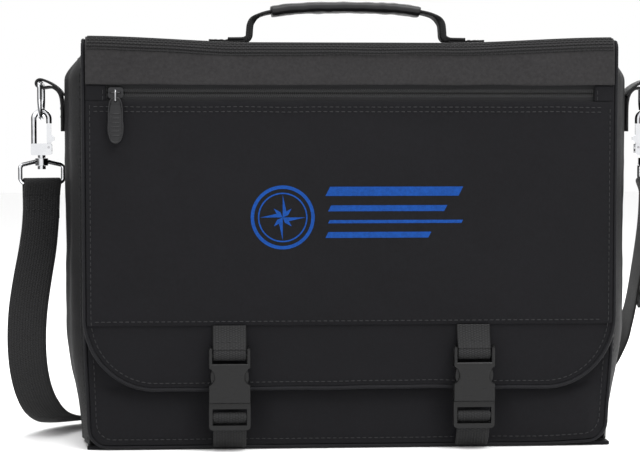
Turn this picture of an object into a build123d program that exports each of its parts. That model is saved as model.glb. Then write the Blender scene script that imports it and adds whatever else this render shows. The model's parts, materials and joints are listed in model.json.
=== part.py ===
"""Soft flight bag: a flap-over briefcase with a zipped flap, two side-release buckles,
a carrying handle and a clip-on shoulder strap.

Millimetres, +Z up.  The origin is the middle of the base where the bag stands.  The flap
faces -Y, and the bag's left side, as seen from the front, is on -X.
"""
from build123d import *
from math import cos, radians, sin
import os

os.makedirs("parts", exist_ok=True)

# ---------------------------------------------------------------- driving dimensions
flap_width = 400.0            # cloth width of the flap and of the front and back panels
bag_height = 305.0            # floor to the top face of the flap cloth
bag_depth = 110.0             # back face to the front face of the zipped flap pocket
gusset_bulge = 18.0           # how far a side gusset swells past the panels
gusset_height = 285.0
cloth = 1.5                   # outer cloth with its coating
lining_cloth = 1.0
stiffener = 1.0               # plastic sheet inside the flap
base_cloth = 3.0              # double cloth under the bag
board = 3.0                   # loose base board
back_wall = 4.0               # padded back wall
front_wall = 3.0              # wall between the main space and the front pocket
divider_wall = 3.0
piping_radius = 1.5
piping_inset = 0.2            # between a panel edge and its piping
body_corner = 14.0            # rounding of the body piping at the base corners
seam_gap = 0.3                # between sewn neighbours that only touch along a seam
running_gap = 1.5             # flap to the panel behind it

front_pocket_depth = 12.0
front_pocket_height = 180.0
divider_height = 240.0
divider_place = 15.5          # middle of the divider, front to back
back_pocket_height = 215.0
back_pocket_margin = 6.0

flap_bottom = 48.5            # bottom edge of the flap cloth above the floor
flap_corner = 52.0            # rounding of the flap's lower corners
flap_seam = 95.0              # seam across the flap that the buckle webbing comes out of
seam_overlap = 6.0
flap_top_cloth = 2.5

zip_axis = 269.0              # height of the zip's middle line
zip_opening = 12.0            # slot in the flap cloth
zip_length = 366.0
zip_tape = 0.8
flap_pocket_gap = 3.0         # space behind the flap cloth for the zipped pocket
coil_gap = 1.2                # open line between the two rows of teeth
coil_width = 2.2
coil_thickness = 1.6
slider_length = 11.0
slider_width = 8.0
slider_plate = 1.0
slider_gap = 0.3              # plates to the teeth
slider_start = -176.0         # slider's place along the closed zip
bridge_height = 3.8           # bridge bar's axis above the front plate
bridge_span = 7.0
bridge_radius = 0.6
link_wire = 0.5               # radius of the pull's wire link
link_half = 1.9               # half the link's breadth, wire middle to middle
link_drop = 6.0               # bridge bar down to the wire that carries the pull
pull_width = 12.0
pull_length = 35.0
pull_thickness = 3.0
pull_eye = 1.1

webbing_width = 25.0
webbing = 1.6
band_back = 30.0              # rear edge of the ribbed band along the top
band_length = 394.0
handle_place = 5.0            # handle's middle line, front to back
handle_foot = 74.0            # half the distance between the feet
handle_shoulder = 61.0
handle_rise = 28.0            # foot to the middle of the webbing at the top
handle_hinge = 9.0            # where the webbing bends, above the flap cloth
handle_webbing = 2.5
grip_length = 118.0
grip_width = 29.0
grip_thickness = 8.0
grip_fit = 0.1                # grip sleeve to the webbing inside it
patch_length = 31.0
patch_thickness = 4.0         # doubled webbing, sewn down

buckle_place = 92.0           # buckle's distance from the middle
buckle_width = 31.0
buckle_thickness = 9.0
socket_low = 37.5             # mouth of the socket half
socket_body_top = 67.0
socket_bar = 73.0             # axis of the bar that the flap webbing goes round
socket_ear_top = 79.5
socket_wall = 2.0
window_low = 49.5
window_high = 65.0
bar_radius = 1.5
plug_low = 17.0
plug_bar = 27.0               # axis of the plug's webbing bar
plug_thickness = 5.0
plug_fit = 0.3                # plug to the socket's inside
plug_arm_top = 64.0
plug_arm = 3.6
rail = 2.6
webbing_fit = 0.25            # webbing to the bar it goes round

chain_clear = 18.0            # D-rings and hooks, outside the gusset
chain_depth = 3.0             # their line, front to back
ring_wire = 1.75
ring_bar = 277.0
ring_half = 16.0
ring_side = 265.0
ring_bottom = 250.4
tab_length = 28.0
tab_thickness = 2.2
hook_wire = 2.2
hook_half = 5.8
hook_arch = 250.0             # middle of the hook's round top
hook_nose = 246.5
hook_block_low = 222.0
hook_block_high = 231.0
gate_pivot = 228.0
gate_pin = 1.0
gate_fit = 0.05               # pin to the gate's hole
gate_bar = 3.4
gate_gap = 0.4
stem_radius = 1.9
stem_fit = 0.08               # swivel stem to its hole
boss_low = 214.0
boss_high = 219.6
loop_wire = 1.7
loop_bar = 201.0              # axis of the bar that the strap is sewn round
left_turn = 25.0              # how far each strap loop has turned on its swivel
right_turn = 90.0
strap_width = 30.0
strap = 1.6
strap_play = 0.7              # each side of the strap in its loop
strap_layer_gap = 0.4         # between the strap and the adjuster, and under its doubled end

# ---------------------------------------------------------------- places worked out
half_width = flap_width / 2
chain_place = half_width + gusset_bulge + chain_clear   # D-rings and hooks, from the middle
back_face = bag_depth / 2
flap_face = -bag_depth / 2
upper_face = flap_face - cloth                       # the main flap cloth laps over
lining_face = flap_face + cloth + flap_pocket_gap
lining_back = lining_face + stiffener + lining_cloth
pocket_face = lining_back + running_gap
pocket_back = pocket_face + cloth
wall_face = pocket_back + front_pocket_depth
wall_back = wall_face + front_wall
back_inside = back_face - back_wall
panel_half = half_width - piping_radius
piping_half = panel_half + piping_radius + piping_inset
top_low = bag_height - flap_top_cloth
band_top = bag_height + cloth
flap_crease_y = flap_face + 2.0
flap_crease_z = top_low - 1.5
hem_top = flap_crease_z - 1.0
slot_low = zip_axis - zip_opening / 2
slot_high = zip_axis + zip_opening / 2
zip_plane = flap_face + 1.4                          # teeth lie behind the flap cloth
buckle_axis = upper_face - seam_gap - 0.5 - buckle_thickness / 2


def save(builder, name):
    """Label a finished piece and write it."""
    builder.part.label = name
    export_step(builder.part, f"parts/{name}.step")


def standing_plane(y):
    """Plane facing -Y at depth y, with its axes along X and Z."""
    return Plane.XZ.offset(-y)


def side_plane(x):
    """Plane facing +X at x, with its axes along Y and Z."""
    return Plane.YZ.offset(x)


def flat_panel(name, half, z_low, z_high, y_front, y_back, low_corner=0.0):
    """Sheet standing across the bag, its two lower corners rounded if asked."""
    with BuildPart() as sheet:
        with BuildSketch(standing_plane(y_back)) as outline:
            with Locations((0, (z_low + z_high) / 2)):
                Rectangle(2 * half, z_high - z_low)
            if low_corner:
                fillet(outline.vertices().group_by(Axis.Y)[0], low_corner)
        extrude(amount=y_back - y_front)
    save(sheet, name)


def lying_panel(name, half, y_front, y_back, z_low, z_high):
    """Sheet lying across the bag."""
    with BuildPart() as sheet:
        with BuildSketch(Plane.XY.offset(z_low)):
            with Locations((0, (y_front + y_back) / 2)):
                Rectangle(2 * half, y_back - y_front)
        extrude(amount=z_high - z_low)
    save(sheet, name)


def piping_cord(name, y, top, bottom, half, corner):
    """Round piping down both sides and along the bottom of a panel."""
    with BuildPart() as cord:
        with BuildLine(standing_plane(y)) as route:
            FilletPolyline((-half, top), (-half, bottom), (half, bottom), (half, top), radius=corner)
        with BuildSketch(Plane(route.line @ 0, z_dir=route.line % 0)):
            Circle(piping_radius)
        sweep()
    save(cord, name)


# ---------------------------------------------------------------- body of the bag
lower_cord = piping_radius + 0.5
base_front = pocket_face + 2 * piping_radius - 0.4
base_back = back_face - 2 * piping_radius - 0.2
lying_panel("base_panel", half_width - 0.6, base_front, base_back, 0, base_cloth)
lying_panel("base_board", half_width - 8, wall_back + 2, back_inside - 2,
            base_cloth + seam_gap, base_cloth + seam_gap + board)
cloth_low = 2 * piping_radius + 0.8
panel_corner = body_corner - piping_radius - piping_inset
flat_panel("back_panel", panel_half, cloth_low, top_low - 2.5, back_inside, back_face, panel_corner)
flat_panel("back_pocket", panel_half - back_pocket_margin, cloth_low + back_pocket_margin,
           back_pocket_height, back_face, back_face + cloth, 12)
flat_panel("divider", panel_half - 1.5, base_cloth + board + 2, divider_height,
           divider_place - divider_wall / 2, divider_place + divider_wall / 2)
flat_panel("front_wall", panel_half + 0.5, base_cloth + seam_gap, slot_low - 1, wall_face, wall_back)
flat_panel("front_pocket_panel", panel_half, cloth_low, front_pocket_height, pocket_face, pocket_back,
           panel_corner)

organiser_half = 150.0
organiser_low = 60.0
organiser_top = 235.0
organiser_face = wall_face - cloth
flat_panel("organiser_panel", organiser_half, organiser_low, organiser_top, organiser_face, wall_face)

pen_loop_height = 40.0
pen_loop_pitch = 26.0
pen_loop_first = -128.0
pen_bore = 15.0
pen_reach = 7.6
pen_cloth = 1.2
with BuildPart() as pen_loops:
    for number in range(3):
        middle = pen_loop_first + number * pen_loop_pitch
        with BuildSketch(Plane.XY.offset(organiser_top - pen_loop_height)):
            with Locations((middle, organiser_face - (pen_reach + pen_cloth) / 2)):
                Rectangle(pen_bore + 2 * pen_cloth, pen_reach + pen_cloth)
            with Locations((middle, organiser_face - pen_reach / 2)):
                Rectangle(pen_bore, pen_reach, mode=Mode.SUBTRACT)
        extrude(amount=pen_loop_height)
save(pen_loops, "pen_loops")

gusset_cloth = 2.0
gusset_front = base_front + 0.3
gusset_back = base_back - 0.3
gusset_edge = half_width + 1.5
for side, sign in (("left", -1), ("right", 1)):
    with BuildPart() as gusset:
        with BuildSketch(Plane.XY.offset(base_cloth + seam_gap)):
            with BuildLine():
                outer = ThreePointArc((sign * gusset_edge, gusset_front),
                                      (sign * (half_width + gusset_bulge), chain_depth),
                                      (sign * gusset_edge, gusset_back))
                inner = ThreePointArc((sign * (gusset_edge - gusset_cloth), gusset_front),
                                      (sign * (half_width + gusset_bulge - gusset_cloth), chain_depth),
                                      (sign * (gusset_edge - gusset_cloth), gusset_back))
                Line(outer @ 0, inner @ 0)
                Line(outer @ 1, inner @ 1)
            make_face()
        extrude(amount=gusset_height - base_cloth - seam_gap)
    save(gusset, f"{side}_gusset")

piping_cord("front_piping", pocket_face + piping_radius - 0.6, front_pocket_height - 2, lower_cord,
            piping_half, body_corner)
piping_cord("back_piping", back_face - piping_radius + 0.1, top_low - 4, lower_cord,
            piping_half, body_corner)

# ---------------------------------------------------------------- flap, top part
lying_panel("flap_top_panel", panel_half - 0.3, flap_crease_y + 1, back_face - 1, top_low, bag_height)
lying_panel("top_band", band_length / 2, flap_crease_y + 2, band_back, bag_height, band_top)
with BuildPart() as top_piping:
    with BuildSketch(standing_plane(back_face - 1)):
        with Locations((-piping_half, top_low + 1), (piping_half, top_low + 1)):
            Circle(piping_radius)
    extrude(amount=back_face - 1 - flap_crease_y - 1)
save(top_piping, "top_piping")

for side, sign in (("left", -1), ("right", 1)):
    with BuildPart() as patch:
        with BuildSketch(Plane.XY.offset(band_top)):
            with Locations((sign * (handle_foot + 2 + patch_length / 2), handle_place)):
                RectangleRounded(patch_length, webbing_width + 2, 2)
        extrude(amount=patch_thickness)
    save(patch, f"{side}_handle_patch")

# ---------------------------------------------------------------- carrying handle
# The webbing and its sleeve are bands of one arch, seen from the front.
handle_low = band_top + patch_thickness + 0.5
hinge_height = bag_height + handle_hinge
arch_top = handle_low + handle_rise - 2
arch = [(-handle_foot, handle_low), (-handle_shoulder, arch_top - 6), (-22, arch_top),
        (22, arch_top), (handle_shoulder, arch_top - 6), (handle_foot, handle_low)]
arch_radii = 14
taper_low = 3.0                               # half width of the tapered foot
taper_top = hinge_height + 8.0

with BuildPart() as handle_strip:
    with BuildSketch(standing_plane(handle_place + webbing_width / 2)):
        with BuildLine():
            FilletPolyline(*arch, radius=arch_radii)
        trace(line_width=handle_webbing)
    extrude(amount=webbing_width)
    # the feet narrow towards the seam, so the handle can lie over
    with BuildSketch(side_plane(0)):
        for sign in (-1, 1):
            with BuildLine():
                Polyline((handle_place + sign * taper_low, handle_low - 3),
                         (handle_place + sign * (webbing_width / 2 + 1), taper_top),
                         (handle_place + sign * (webbing_width / 2 + 1), handle_low - 3), close=True)
            make_face()
    extrude(amount=handle_foot + 10, both=True, mode=Mode.SUBTRACT)
save(handle_strip, "handle_webbing")

with BuildPart() as grip:
    with BuildSketch(standing_plane(handle_place + grip_width / 2)):
        with BuildLine():
            FilletPolyline(*arch, radius=arch_radii)
        trace(line_width=grip_thickness)
    extrude(amount=grip_width)
    with BuildSketch(standing_plane(handle_place + grip_width)):
        for sign in (-1, 1):
            with Locations((sign * (grip_length / 2 + 50), arch_top)):
                Rectangle(100, 100)
    extrude(amount=2 * grip_width, mode=Mode.SUBTRACT)
    fillet(grip.edges().filter_by(Axis.Y, reverse=True).filter_by(GeomType.LINE), 2)
    with BuildSketch(standing_plane(handle_place + webbing_width / 2 + grip_fit)):
        with BuildLine():
            FilletPolyline(*arch, radius=arch_radii)
        trace(line_width=handle_webbing + 2 * grip_fit)
    extrude(amount=webbing_width + 2 * grip_fit, mode=Mode.SUBTRACT)
save(grip, "handle_grip")

# ---------------------------------------------------------------- flap, front part
flat_panel("flap_panel", panel_half, flap_seam, slot_low, upper_face, flap_face)
flat_panel("flap_lower_panel", panel_half, flap_bottom, flap_seam + seam_overlap,
           flap_face, flap_face + cloth, flap_corner)
flat_panel("flap_hem_panel", panel_half, slot_high, hem_top, upper_face, flap_face)
flat_panel("flap_lining", panel_half, flap_bottom, hem_top - 1, lining_back - lining_cloth,
           lining_back, flap_corner)
flat_panel("flap_stiffener", panel_half - 6, flap_bottom + 6, hem_top - 4, lining_face,
           lining_face + stiffener, flap_corner - 6)
piping_cord("flap_piping", flap_face + 0.4, hem_top, flap_bottom - piping_radius - piping_inset,
            piping_half, flap_corner + piping_radius + piping_inset)

tape_half = zip_length / 2 + 4
tape_inner = coil_gap / 2 + coil_width
tape_reach = 10.0
for name, sign in (("upper_zip_tape", 1), ("lower_zip_tape", -1)):
    with BuildPart() as tape:
        with BuildSketch(standing_plane(zip_plane + zip_tape / 2)):
            with Locations((0, zip_axis + sign * (tape_inner + tape_reach) / 2)):
                Rectangle(2 * tape_half, tape_reach - tape_inner)
        extrude(amount=zip_tape)
    save(tape, name)

with BuildPart() as zip_coils:
    with BuildSketch(standing_plane(zip_plane + coil_thickness / 2)):
        for sign in (-1, 1):
            with Locations((0, zip_axis + sign * (coil_gap + coil_width) / 2)):
                Rectangle(zip_length, coil_width)
    extrude(amount=coil_thickness)
save(zip_coils, "zip_coils")

stop_inner = zip_length / 2 + 0.5
with BuildPart() as zip_ends:
    with BuildSketch(standing_plane(flap_face)):
        for sign in (-1, 1):
            with Locations((sign * (stop_inner + panel_half) / 2, zip_axis)):
                Rectangle(panel_half - stop_inner, zip_opening)
    extrude(amount=cloth)
save(zip_ends, "zip_end_panels")

# ---------------------------------------------------------------- zip slider and pull
coil_front = zip_plane - coil_thickness / 2
coil_back = zip_plane + coil_thickness / 2
plate_face = coil_front - slider_gap - slider_plate
bridge_axis = plate_face - bridge_height
with BuildPart() as slider:
    with BuildSketch(standing_plane(coil_front - slider_gap)):
        with Locations((slider_start, zip_axis)):
            RectangleRounded(slider_length, slider_width, 1.6)
    extrude(amount=slider_plate)
    with BuildSketch(standing_plane(coil_back + slider_gap + slider_plate)):
        with Locations((slider_start, zip_axis)):
            RectangleRounded(slider_length, slider_width, 1.6)
    extrude(amount=slider_plate)
    # the post between the two rows of teeth holds the plates together
    with BuildSketch(standing_plane(coil_back + slider_gap + slider_plate / 2)):
        with Locations((slider_start - slider_length / 2 + 2, zip_axis)):
            Rectangle(3, coil_gap - 0.4)
    extrude(amount=coil_thickness + 2 * slider_gap + slider_plate)
    # bridge that the link hangs on
    with BuildLine(Plane.XY.offset(zip_axis)) as bridge:
        FilletPolyline((slider_start - bridge_span / 2, plate_face + 0.5),
                       (slider_start - bridge_span / 2, bridge_axis),
                       (slider_start + bridge_span / 2, bridge_axis),
                       (slider_start + bridge_span / 2, plate_face + 0.5), radius=1.2)
    with BuildSketch(Plane(bridge.line @ 0, z_dir=bridge.line % 0)):
        Circle(bridge_radius)
    sweep()
save(slider, "zip_slider")

with BuildPart() as link:
    with BuildLine(side_plane(slider_start)):
        top_turn = ThreePointArc((bridge_axis - link_half, zip_axis),
                                 (bridge_axis, zip_axis + link_half),
                                 (bridge_axis + link_half, zip_axis))
        FilletPolyline((bridge_axis + link_half, zip_axis),
                       (bridge_axis + link_half, zip_axis - link_drop),
                       (bridge_axis - link_half, zip_axis - link_drop),
                       (bridge_axis - link_half, zip_axis), radius=0.8)
    with BuildSketch(Plane(top_turn @ 0, z_dir=top_turn % 0)):
        Circle(link_wire)
    sweep()
save(link, "pull_link")

pull_eye_z = zip_axis - link_drop
pull_top = pull_eye_z + 3.2
pull_neck = 1.8               # thickness where the link goes through
with BuildPart() as pull:
    with BuildSketch(standing_plane(bridge_axis + pull_thickness / 2)):
        with Locations((slider_start, pull_top - 3.2)):
            Circle(3.2)
        with Locations((slider_start, pull_top - pull_length + 12)):
            Ellipse(pull_width / 2, 12)
        with BuildLine():
            Polyline((slider_start - 3.1, pull_eye_z), (slider_start + 3.1, pull_eye_z),
                     (slider_start + pull_width / 2, pull_top - pull_length + 12),
                     (slider_start - pull_width / 2, pull_top - pull_length + 12), close=True)
        make_face()
    extrude(amount=pull_thickness)
    # thinner neck on both faces
    for face in (bridge_axis + pull_thickness / 2 + 1, bridge_axis - pull_neck / 2):
        with BuildSketch(standing_plane(face)):
            with Locations((slider_start, pull_eye_z + 1)):
                Rectangle(9, 8)
        depth = pull_thickness / 2 + 1 - pull_neck / 2
        extrude(amount=depth, mode=Mode.SUBTRACT)
    with BuildSketch(standing_plane(bridge_axis + pull_thickness)):
        with Locations((slider_start, pull_eye_z)):
            Circle(pull_eye)
    extrude(amount=2 * pull_thickness, mode=Mode.SUBTRACT)
save(pull, "zip_pull")

# ---------------------------------------------------------------- buckles
buckle_half = buckle_width / 2
cavity_half = buckle_half - 4.3
cavity_thickness = buckle_thickness - 2 * socket_wall
loop_inner = bar_radius + webbing_fit
loop_outer = loop_inner + webbing
for side, sign in (("left", -1), ("right", 1)):
    middle = sign * buckle_place
    with BuildPart() as socket:
        with BuildSketch(standing_plane(buckle_axis + buckle_thickness / 2)) as outline:
            with Locations((middle, (socket_low + socket_body_top) / 2)):
                Rectangle(buckle_width, socket_body_top - socket_low)
            for edge in (-1, 1):
                # ears that carry the webbing bar
                with BuildLine():
                    Polyline((middle + edge * (buckle_half - rail), socket_body_top - 1),
                             (middle + edge * (buckle_half - rail), socket_ear_top - 1.5),
                             (middle + edge * (buckle_half - 0.8), socket_ear_top),
                             (middle + edge * buckle_half, socket_ear_top - 2),
                             (middle + edge * buckle_half, socket_body_top - 1), close=True)
                make_face()
            for edge in (-1, 1):
                # side cut-outs for the fingers
                with Locations((middle + edge * (buckle_half + 4.4), (window_low + window_high) / 2)):
                    Ellipse(8.6, (window_high - window_low) / 2, mode=Mode.SUBTRACT)
        extrude(amount=buckle_thickness)
        front_y = buckle_axis - buckle_thickness / 2
        fillet(socket.edges().filter_by_position(Axis.Y, front_y - 0.01, front_y + 0.01), 1.2)
        # hollow for the plug, open at the mouth
        with BuildSketch(Plane.XY.offset(socket_low - 1)):
            with Locations((middle, buckle_axis)):
                RectangleRounded(2 * cavity_half, cavity_thickness, 0.8)
        extrude(amount=plug_arm_top - socket_low + 2, mode=Mode.SUBTRACT)
        # webbing bar between the ears
        with BuildSketch(side_plane(middle - buckle_half + rail / 2)):
            with Locations((buckle_axis, socket_bar)):
                Circle(bar_radius)
        extrude(amount=buckle_width - rail)
    save(socket, f"{side}_buckle_socket")

    with BuildPart() as plug:
        with BuildSketch(standing_plane(buckle_axis + plug_thickness / 2)) as outline:
            with Locations((middle, (plug_low + socket_low - plug_fit) / 2)):
                Rectangle(buckle_width, socket_low - plug_fit - plug_low)
            fillet(outline.vertices().group_by(Axis.Y)[0], 3)
            with Locations((middle, (plug_low + 3.6 + 33) / 2)):
                Rectangle(buckle_width - 2 * rail, 33 - plug_low - 3.6, mode=Mode.SUBTRACT)
        extrude(amount=plug_thickness)
        # arms and middle tongue inside the socket
        inside = cavity_half - plug_fit
        with BuildSketch(standing_plane(buckle_axis + cavity_thickness / 2 - plug_fit)):
            for edge in (-1, 1):
                with BuildLine():
                    Polyline((middle + edge * inside, socket_low - 2),
                             (middle + edge * inside, plug_arm_top - 5),
                             (middle + edge * (inside - 3), plug_arm_top),
                             (middle + edge * (inside - plug_arm - 1), plug_arm_top - 2),
                             (middle + edge * (inside - plug_arm), plug_arm_top - 8),
                             (middle + edge * (inside - plug_arm), socket_low - 2), close=True)
                make_face()
            with Locations((middle, (socket_low - 2 + plug_arm_top - 6) / 2)):
                Rectangle(3.4, plug_arm_top - 6 - socket_low + 2)
        extrude(amount=cavity_thickness - 2 * plug_fit)
        with BuildSketch(side_plane(middle - buckle_half + rail / 2)):
            with Locations((buckle_axis, plug_bar)):
                Circle(bar_radius)
        extrude(amount=buckle_width - rail)
    save(plug, f"{side}_buckle_plug")

    # flap webbing, doubled round the socket's bar
    seam_y = flap_face - webbing - 0.1
    with BuildPart() as upper_webbing:
        with BuildSketch(side_plane(middle - webbing_width / 2)):
            with BuildLine():
                FilletPolyline((seam_y, flap_seam - 0.2), (seam_y - 0.8, flap_seam - 8),
                               (buckle_axis, socket_bar + 2), radius=8)
            trace(line_width=2 * webbing)
            with Locations((buckle_axis, socket_bar)):
                Circle(loop_outer)
                Circle(loop_inner, mode=Mode.SUBTRACT)
        extrude(amount=webbing_width)
    save(upper_webbing, f"{side}_upper_webbing")

    # pocket webbing from the base seam up round the plug's bar
    with BuildPart() as lower_webbing:
        with BuildSketch(side_plane(middle - webbing_width / 2)):
            with BuildLine():
                FilletPolyline((pocket_face - 1.4, cloth_low - 1.5), (buckle_axis + 3.9, plug_low - 2),
                               (buckle_axis + 3.5, plug_low + 5), (buckle_axis + 2.2, plug_bar), radius=3)
            trace(line_width=webbing)
            with Locations((buckle_axis, plug_bar)):
                Circle(loop_outer)
                Circle(loop_inner, mode=Mode.SUBTRACT)
        extrude(amount=webbing_width)
    save(lower_webbing, f"{side}_lower_webbing")

# ---------------------------------------------------------------- rings, hooks and strap ends
tab_face = half_width + gusset_bulge + seam_gap + tab_thickness / 2
tab_inner = ring_wire + 0.4
block_width = 2 * hook_half + 2 * hook_wire
slot_half = 2.1
gate_half = 1.8
strap_half = strap_width / 2
loop_half = strap_half + strap_play + loop_wire
strap_loop_inner = loop_wire + 0.3
strap_loop_outer = strap_loop_inner + strap

for side, sign, turn in (("left", -1, left_turn), ("right", 1, right_turn)):
    # plane of the hook: its first axis points at the bag, its second up
    hook_plane = Plane((sign * chain_place, chain_depth, 0), x_dir=(-sign, 0, 0), z_dir=(0, sign, 0))
    loop_plane = Plane((sign * chain_place, chain_depth, 0),
                       x_dir=(cos(radians(turn)), sin(radians(turn)), 0),
                       z_dir=(sin(radians(turn)), -cos(radians(turn)), 0))

    with BuildPart() as ring_tab:
        with BuildSketch(hook_plane.offset(-webbing_width / 2)):
            with BuildLine():
                FilletPolyline((chain_place - tab_face, ring_bar - 9 - tab_length),
                               (chain_place - tab_face, ring_bar - 9),
                               (1.5, ring_bar - 2), radius=5)
            trace(line_width=tab_thickness)
            with Locations((0, ring_bar)):
                Circle(tab_inner + tab_thickness)
                Circle(tab_inner, mode=Mode.SUBTRACT)
        extrude(amount=webbing_width)
    save(ring_tab, f"{side}_ring_tab")

    with BuildPart() as d_ring:
        with BuildLine(side_plane(sign * chain_place)) as bar_run:
            FilletPolyline((chain_depth - ring_half, ring_side), (chain_depth - ring_half, ring_bar),
                           (chain_depth + ring_half, ring_bar), (chain_depth + ring_half, ring_side),
                           radius=3)
        with BuildSketch(Plane(bar_run.line @ 0, z_dir=bar_run.line % 0)):
            Circle(ring_wire)
        sweep()
        with BuildLine(side_plane(sign * chain_place)) as bow:
            ThreePointArc((chain_depth + ring_half, ring_side), (chain_depth, ring_bottom),
                          (chain_depth - ring_half, ring_side))
        with BuildSketch(Plane(bow.line @ 0, z_dir=bow.line % 0)):
            Circle(ring_wire)
        sweep()
    save(d_ring, f"{side}_d_ring")

    with BuildPart() as hook:
        with BuildLine(hook_plane):
            spine = Line((-hook_half, hook_block_high - 2), (-hook_half, hook_arch))
            ThreePointArc((-hook_half, hook_arch), (0, hook_arch + hook_half), (hook_half, hook_arch))
            Line((hook_half, hook_arch), (hook_half, hook_nose))
        with BuildSketch(Plane(spine @ 0, z_dir=spine % 0)):
            Circle(hook_wire)
        sweep()
        with BuildSketch(hook_plane.offset(-4)):
            with Locations((0, (hook_block_low + hook_block_high) / 2)):
                RectangleRounded(block_width, hook_block_high - hook_block_low, 1.5)
        extrude(amount=8)
        with BuildSketch(hook_plane.offset(-slot_half)):
            with Locations((hook_half + 1.4, gate_pivot + 0.5)):
                Rectangle(10, 7.4)
        extrude(amount=2 * slot_half, mode=Mode.SUBTRACT)
        with BuildSketch(hook_plane.offset(-4)):
            with Locations((hook_half, gate_pivot)):
                Circle(gate_pin)
        extrude(amount=8, mode=Mode.SUBTRACT)
        # swivel stem, its collar and its riveted head
        stem_runs = ((boss_high + 0.4, hook_block_low + 1, 3.0),
                     (boss_low - 0.4, boss_high + 1, stem_radius),
                     (boss_low - 2.8, boss_low - 0.3, 3.2))
        for low, high, radius in stem_runs:
            with BuildSketch(Plane((sign * chain_place, chain_depth, low))):
                Circle(radius)
            extrude(amount=high - low)
    save(hook, f"{side}_snap_hook")

    with BuildPart() as pin:
        with BuildSketch(hook_plane.offset(-4)):
            with Locations((hook_half, gate_pivot)):
                Circle(gate_pin)
        extrude(amount=8)
    save(pin, f"{side}_gate_pin")

    with BuildPart() as gate:
        with BuildSketch(hook_plane.offset(-gate_half)):
            with Locations((hook_half, gate_pivot)):
                Circle(2.2)
            with Locations((hook_half, (gate_pivot + hook_block_high + 1) / 2)):
                Rectangle(gate_bar, hook_block_high + 1 - gate_pivot)
            with Locations((hook_half, gate_pivot)):
                Circle(gate_pin + gate_fit, mode=Mode.SUBTRACT)
        extrude(amount=gate_half + 0.4)
        with BuildSketch(hook_plane.offset(-gate_half)):
            with Locations((hook_half, (hook_block_high + 0.8 + hook_nose - gate_gap) / 2)):
                Rectangle(gate_bar, hook_nose - gate_gap - hook_block_high - 0.8)
            with BuildLine():
                Polyline((hook_half + gate_bar / 2 - 0.2, hook_block_high + 1),
                         (hook_half + gate_bar / 2 + 2.4, hook_block_high + 2.2),
                         (hook_half + gate_bar / 2 + 2.6, hook_block_high + 5),
                         (hook_half + gate_bar / 2 - 0.2, hook_block_high + 7), close=True)
            make_face()
        extrude(amount=2 * gate_half)
    save(gate, f"{side}_hook_gate")

    with BuildPart() as spring:
        with BuildSketch(hook_plane.offset(0.7)):
            with Locations((hook_half, gate_pivot)):
                Circle(2.0)
            with Locations((hook_half - 2.1, gate_pivot)):
                Rectangle(1.6, 0.8)
            with Locations((hook_half, gate_pivot)):
                Circle(gate_pin + 0.2, mode=Mode.SUBTRACT)
        extrude(amount=1.2)
    save(spring, f"{side}_gate_spring")

    with BuildPart() as strap_loop:
        with BuildLine(loop_plane) as frame:
            FilletPolyline((-3, boss_low + 3.4), (-loop_half, boss_low + 0.2), (-loop_half, loop_bar),
                           (loop_half, loop_bar), (loop_half, boss_low + 0.2), (3, boss_low + 3.4), radius=3)
        with BuildSketch(Plane(frame.line @ 0, z_dir=frame.line % 0)):
            Circle(loop_wire)
        sweep()
        with BuildSketch(Plane((sign * chain_place, chain_depth, boss_low))):
            Circle(5)
        extrude(amount=boss_high - boss_low)
        with BuildSketch(Plane((sign * chain_place, chain_depth, boss_low - 3))):
            Circle(stem_radius + stem_fit)
        extrude(amount=boss_high - boss_low + 6, mode=Mode.SUBTRACT)
    save(strap_loop, f"{side}_strap_loop")

# ---------------------------------------------------------------- shoulder strap
# Middle line of the webbing from the left hook to the right one, and beside each point the
# direction across the webbing.  It hangs, reaches the floor and lies behind the bag.
strap_route = [
    ((-236, 3, 198.2), (0.91, 0.42, 0)),
    ((-236.4, 3, 177), (0.91, 0.42, 0)),
    ((-239, 2, 151), (0.95, 0.3, 0.04)),
    ((-244, 2, 125), (0.98, 0.18, 0.1)),
    ((-248, 3, 99), (1, 0.04, 0.15)),
    ((-249, 4, 72), (1, -0.05, 0.15)),
    ((-247, 8, 48), (0.98, -0.12, 0.2)),
    ((-242, 18, 28), (0.95, -0.2, 0.3)),
    ((-234, 34, 14), (0.85, -0.45, 0.3)),
    ((-225, 56, 8), (0.6, -0.75, 0.25)),
    ((-203, 77, 5), (0.25, -0.95, 0.12)),
    ((-169, 90, 3), (0, -1, 0.05)),
    ((-130, 98, 1.8), (-0.05, -1, 0)),
    ((-94, 104, 1.2), (-0.1, -1, 0)),
    ((-58, 109, 1.2), (-0.05, -1, 0)),
    ((-20, 112, 1.2), (0, -1, 0)),
    ((18, 112, 1.2), (0.05, -1, 0)),
    ((56, 109, 1.2), (0.1, -1, 0)),
    ((92, 104, 1.2), (0.15, -1, 0)),
    ((126, 99, 1.8), (0.2, -1, -0.02)),
    ((157, 95, 6), (0.2, -1, -0.1)),
    ((184, 92, 16), (0.3, -0.95, -0.3)),
    ((207, 87, 32), (0.35, -0.9, -0.45)),
    ((224, 77, 52), (0.3, -0.9, -0.5)),
    ((234, 64, 74), (0.1, -0.9, -0.45)),
    ((236, 49, 96), (0, -0.88, -0.46)),
    ((236, 34, 118), (0, -0.88, -0.46)),
    ((236, 20, 140), (0, -0.9, -0.42)),
    ((236, 9, 161), (0, -0.95, -0.3)),
    ((236, 3.8, 181), (0, -1, -0.1)),
    ((236, 3, 198.2), (0, -1, 0)),
]


# The route was laid for a chain at 236 and a back at 55: it stretches with both.
route_reach, route_back = 236.0, 55.0


def route_place(number):
    """Point of the route, fitted to the bag's width and depth."""
    x, y, z = strap_route[number][0]
    behind = min(max((y - chain_depth) / (route_back + 5 - chain_depth), 0), 1)
    return Vector(x * chain_place / route_reach, y + behind * (back_face - route_back), z)


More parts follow.
